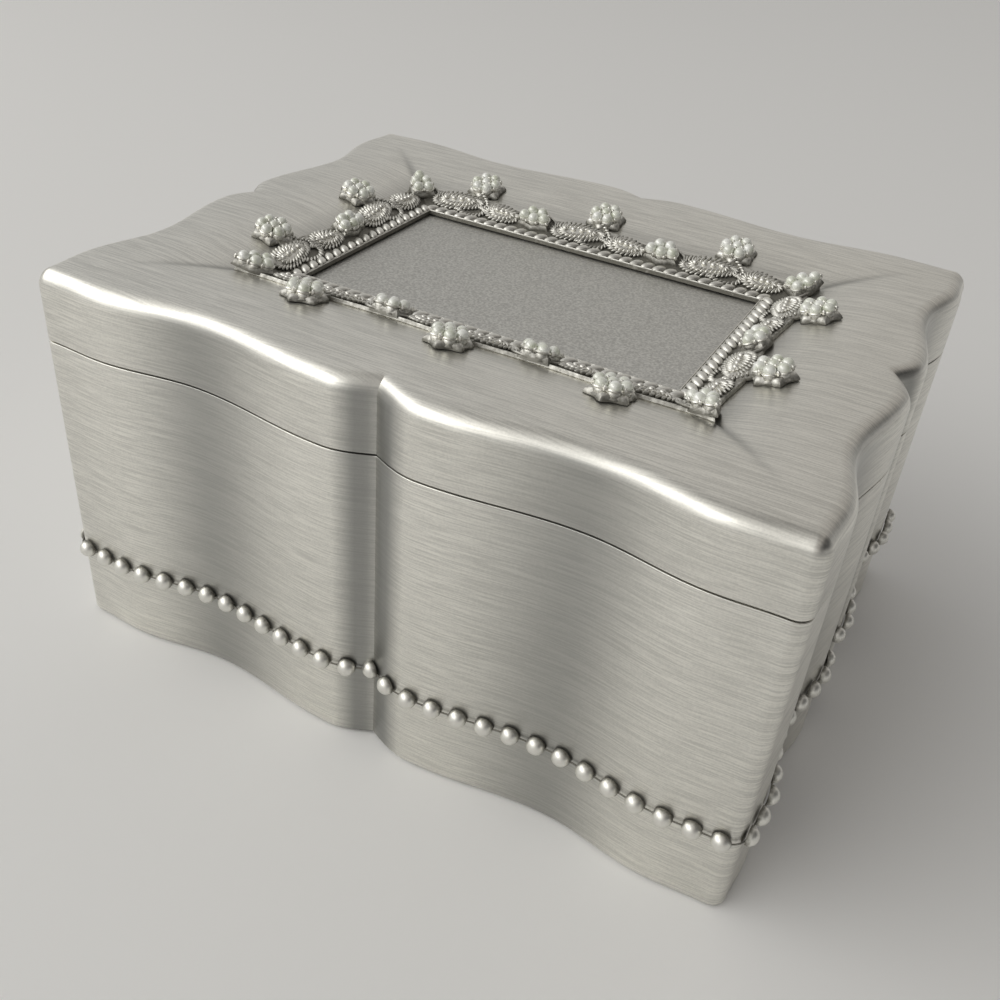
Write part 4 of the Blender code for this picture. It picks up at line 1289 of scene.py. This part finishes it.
def make_cushion():
    """A thin pad with round edges, whose top swells towards the middle."""
    inset = WALL + GAP + LINING + GAP
    base = floor_z + GAP
    profile = [(inset + CUSHION_EDGE * (1 - math.cos(a)), base + CUSHION / 2 * (1 + math.sin(a)))
               for a in (math.pi * (k / 10 - 0.5) for k in range(11))]
    for k in range(1, CROWN_STEPS + 1):
        share = k / CROWN_STEPS
        profile.append((inset + CUSHION_EDGE + (CROWN_FLAT - CUSHION_EDGE) * share,
                        base + CUSHION + CUSHION_CROWN * (1 - (1 - share) ** 3)))
    cushion = wavy_shell("velvet_cushion", profile)
    return pad_out(cushion, 60, 0.7, velvet, "box", "velvet", "floor_cushion")


def make_lid_card():
    top = pocket_z - ROOF - GAP
    inset = WALL + GAP
    soft = rounded(inset, inset + CARD_EDGE, top - CARD_EDGE, top - CARD)
    card = wavy_shell("velvet_lid_card", [(inset, top)] + soft)
    return pad_out(card, 60, 0.9, velvet, "lid", "velvet", "lid_lining")


def make_foot():
    inset = FOOT_RIM + GAP
    under = [(inset + PAD_EDGE * (1 - math.sin(a)), PAD_EDGE * (1 - math.cos(a)))
             for a in (math.pi / 2 * k / 3 for k in range(4))]
    foot = wavy_shell("felt_foot", under + [(inset, casting_z + FOOT_RECESS - GAP)])
    return pad_out(foot, 60, 0.9, felt, "box", "felt", "foot_pad")


print("soft pieces:", make_cushion().name, make_lid_card().name, make_foot().name)

# %% [markdown]
# Two small butt hinges join the lid to the back wall. Their leaves lie in the valleys of the
# wave. The barrel has three knuckles round a pin, and a tooth on the middle one meets the
# body's leaf when the lid stands open.

# %% Hinges
HINGE_HALF = 6.0 * MM
KNUCKLE_GAP = 0.3 * MM
CENTRE_KNUCKLE = 3.8 * MM
BARREL_RADIUS = 1.7 * MM
PIN_RADIUS = 0.7 * MM
PIN_HEAD = 0.5 * MM
LEAF_PLATE = 0.8 * MM
LEAF_FREE = 1.35 * MM
LEAF_HEIGHT = 8.3 * MM
STOP_REACH = 2.1 * MM
STOP_THICK = 0.7 * MM
SOFT_EDGE = 0.12 * MM
hinge = next(joint for joint in frame["joints"] if joint["name"] == "lid_hinge")
axis_y, axis_z = hinge["pos_m"][1], hinge["pos_m"][2]
open_angle = math.radians(100)
leaf_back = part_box("hinge_base_leaf_01")[0].y - axis_y
pin_low, pin_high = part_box("hinge_pin_02")
hinge_x = (pin_low.x + pin_high.x) / 2


def make_bar(name, low, high):
    """A block between two corners, with softened edges."""
    bpy.ops.object.select_all(action="DESELECT")
    bpy.ops.mesh.primitive_cube_add(size=1.0)
    bar = named(bpy.context.object, name)
    for vertex in bar.data.vertices:
        vertex.co = [low[i] if vertex.co[i] < 0 else high[i] for i in range(3)]
    apply_bevel(bar, SOFT_EDGE)
    return bar


def make_barrel(name, start, end, radius):
    bpy.ops.object.select_all(action="DESELECT")
    bpy.ops.mesh.primitive_cylinder_add(vertices=32, radius=radius, depth=end - start)
    barrel = named(bpy.context.object, name)
    barrel.data.transform(Matrix.Translation(((start + end) / 2, 0, 0))
                          @ Matrix.Rotation(math.pi / 2, 4, "Y"))
    apply_bevel(barrel, SOFT_EDGE)
    return barrel


def make_hinge_leaf(name, knuckles, up):
    near, far = up * LEAF_FREE, up * LEAF_HEIGHT
    face = leaf_back + LEAF_PLATE
    parts = [make_bar(name, (-HINGE_HALF, leaf_back, min(near, far)),
                      (HINGE_HALF, face, max(near, far)))]
    for start, end in knuckles:
        root = near + up * LEAF_PLATE
        parts.append(make_bar("neck", (start, leaf_back, min(0.0, root)),
                              (end, face, max(0.0, root))))
        parts.append(make_barrel("knuckle", start, end, BARREL_RADIUS))
    return join_pieces(name, parts)


def stop_turn():
    """Where the tooth stands while the lid is shut, turned back from where it rests."""
    corner = math.hypot(STOP_REACH, STOP_THICK / 2)
    face = leaf_back + LEAF_PLATE + GAP
    rest = math.atan2(STOP_THICK / 2, STOP_REACH) + math.tau - math.acos(face / corner)
    return rest + open_angle


def lay_hinge_pieces(first, body, stem):
    places = [spot_at(side * hinge_x, axis_y, axis_z) for side in (-1, 1)]
    for k, piece in enumerate(lay_copies(first, places), 1):
        node = f"{stem}_{k:02d}"
        smooth_by_angle(named(piece, "fine_" + node), 40)
        hand_over(piece, hinge_metal, body, "hinge_metal", node)


def make_hinges():
    inner = CENTRE_KNUCKLE / 2
    outer = ((-HINGE_HALF, -inner - KNUCKLE_GAP), (inner + KNUCKLE_GAP, HINGE_HALF))
    lay_hinge_pieces(make_hinge_leaf("base_leaf", outer, -1), "box", "hinge_base_leaf")
    lid_leaf = make_hinge_leaf("lid_leaf", ((-inner, inner),), 1)
    tooth = make_bar("tooth", (-inner, PIN_RADIUS, -STOP_THICK / 2),
                     (inner, STOP_REACH, STOP_THICK / 2))
    tooth.data.transform(Matrix.Rotation(stop_turn(), 4, "X"))
    lay_hinge_pieces(join_pieces("lid_leaf", [lid_leaf, tooth]), "lid", "hinge_lid_leaf")
    end, head = HINGE_HALF + GAP, BARREL_RADIUS - GAP
    pin = join_pieces("pin", [make_barrel("pin", -end, end, PIN_RADIUS),
                              make_barrel("head", -end - PIN_HEAD, -end, head),
                              make_barrel("head", end, end + PIN_HEAD, head)])
    lay_hinge_pieces(pin, "box", "hinge_pin")


make_hinges()
print("hinges at x =", round(-hinge_x / MM, 1), "and", round(hinge_x / MM, 1), "mm")

# %% [markdown]
# The camera stands where the photographer stood: above the box, and in front of its right
# front corner. It was found by fitting a pinhole camera to corners and edges of the box.

# %% Camera
CAMERA_PLACE = Vector((0.07492, -0.16311, 0.14591))
CAMERA_RIGHT = Vector((0.8756, 0.4772, 0.0752))
CAMERA_UP = Vector((-0.3270, 0.4708, 0.8194))
CAMERA_AHEAD = Vector((-0.3556, 0.7420, -0.5682))
CAMERA_LENS = 38.56


def make_camera():
    data = bpy.data.cameras.new("camera")
    data.lens = CAMERA_LENS
    data.sensor_width = 36.0
    data.clip_start = 0.01
    camera = bpy.data.objects.new("camera", data)
    bpy.context.scene.collection.objects.link(camera)
    axes = Matrix((CAMERA_RIGHT, CAMERA_UP, -CAMERA_AHEAD)).transposed()
    camera.matrix_world = Matrix.Translation(CAMERA_PLACE) @ axes.to_4x4()
    bpy.context.scene.camera = camera


make_camera()
print("camera", round(CAMERA_PLACE.length / MM), "mm from the middle of the box's foot")

# %% [markdown]
# Metal shows what stands round it, so the studio matters as much as the finish. A pale
# floor and a soft room give an even ground tone. The room is brightest at the left front
# and paler behind than at the left. It darkens towards the ceiling and the right, and round
# the horizon it has nearly the floor's own tone, so that the floor's end shows only faintly.
# One wide, low soft box at the left front draws the bright line on the rim and the bands on
# the wave. The right side is left in shade, though less deep than in the photograph.

# %% Floor and lamp
def make_floor():
    bpy.ops.object.select_all(action="DESELECT")
    bpy.ops.mesh.primitive_plane_add(size=40.0)
    floor = named(bpy.context.object, "studio_floor")
    paper = bpy.data.materials.new("floor_paper")
    paper.use_nodes = True
    floor.data.materials.append(
        finish(paper, {"Base Color": (0.88, 0.88, 0.87, 1.0), "Roughness": 0.9}))


def add_lamp(name, place, target, size, power, colour):
    data = bpy.data.lights.new(name, "AREA")
    data.shape = "RECTANGLE"
    data.size, data.size_y = size
    data.energy = power
    data.color = colour
    lamp = bpy.data.objects.new(name, data)
    lamp.location = place
    lamp.rotation_euler = (Vector(target) - Vector(place)).to_track_quat("-Z", "Y").to_euler()
    bpy.context.scene.collection.objects.link(lamp)
    return lamp


make_floor()
box_middle = (0.0, 0.0, 0.035)
lamp = add_lamp("soft_box", (-0.66, -0.58, 0.70), box_middle, (1.50, 0.45), 4.0,
                (1.0, 0.985, 0.955))
print("lamp:", lamp.name, lamp.data.energy, "W")

# %% Room
ROOM_SIDES = ((0.10, (0.46, 0.46, 0.46)), (0.42, (0.55, 0.535, 0.515)),    # from left to right
              (0.74, (0.38, 0.36, 0.34)), (0.84, (0.04, 0.04, 0.04)))
ROOM_FRONT = (1.02, 1.01, 0.985)
FRONT_WAY = (-0.70, -0.70, 0.12)
FRONT_FADE = (0.30, 0.80)
ROOM_HORIZON = (0.46, 0.455, 0.445)
ROOM_LOW = (0.08, 0.32)          # between these heights, the horizon gives way to the room
ROOM_HIGH = (0.80, 1.0, 1.0, 0.45)   # two heights, and how bright the room is at each


def make_room():
    """Grey at the left, pale behind, dark at the right and above, bright at the left front."""
    world = bpy.data.worlds.new("studio")
    bpy.context.scene.world = world
    world.use_nodes = True
    tree = world.node_tree
    way = add_node(tree, "ShaderNodeTexCoord", {}).outputs["Generated"]
    split = add_node(tree, "ShaderNodeSeparateXYZ", {"Vector": way})
    sides = add_node(tree, "ShaderNodeValToRGB",
                     {"Fac": value_range(tree, split.outputs["X"], -1.0, 1.0)})
    for place, _ in ROOM_SIDES[1:-1]:
        sides.color_ramp.elements.new(place)
    for stop, (place, colour) in zip(sides.color_ramp.elements, ROOM_SIDES):
        stop.position = place
        stop.color = (*colour, 1.0)
    facing = add_node(tree, "ShaderNodeVectorMath", {0: way, 1: FRONT_WAY},
                      operation="DOT_PRODUCT")
    front = value_range(tree, facing.outputs["Value"], *FRONT_FADE)
    high = value_range(tree, split.outputs["Z"], *ROOM_HIGH)
    low = value_range(tree, split.outputs["Z"], *ROOM_LOW)
    room = two_colours(tree, high, (0.0, 0.0, 0.0), sides.outputs["Color"])
    room = two_colours(tree, front, room, ROOM_FRONT)
    feed(tree, tree.nodes["Background"].inputs["Color"],
         two_colours(tree, low, ROOM_HORIZON, room))
    return world


print("room:", len(make_room().node_tree.nodes), "nodes")
bpy.context.scene.view_settings.view_transform = "Standard"
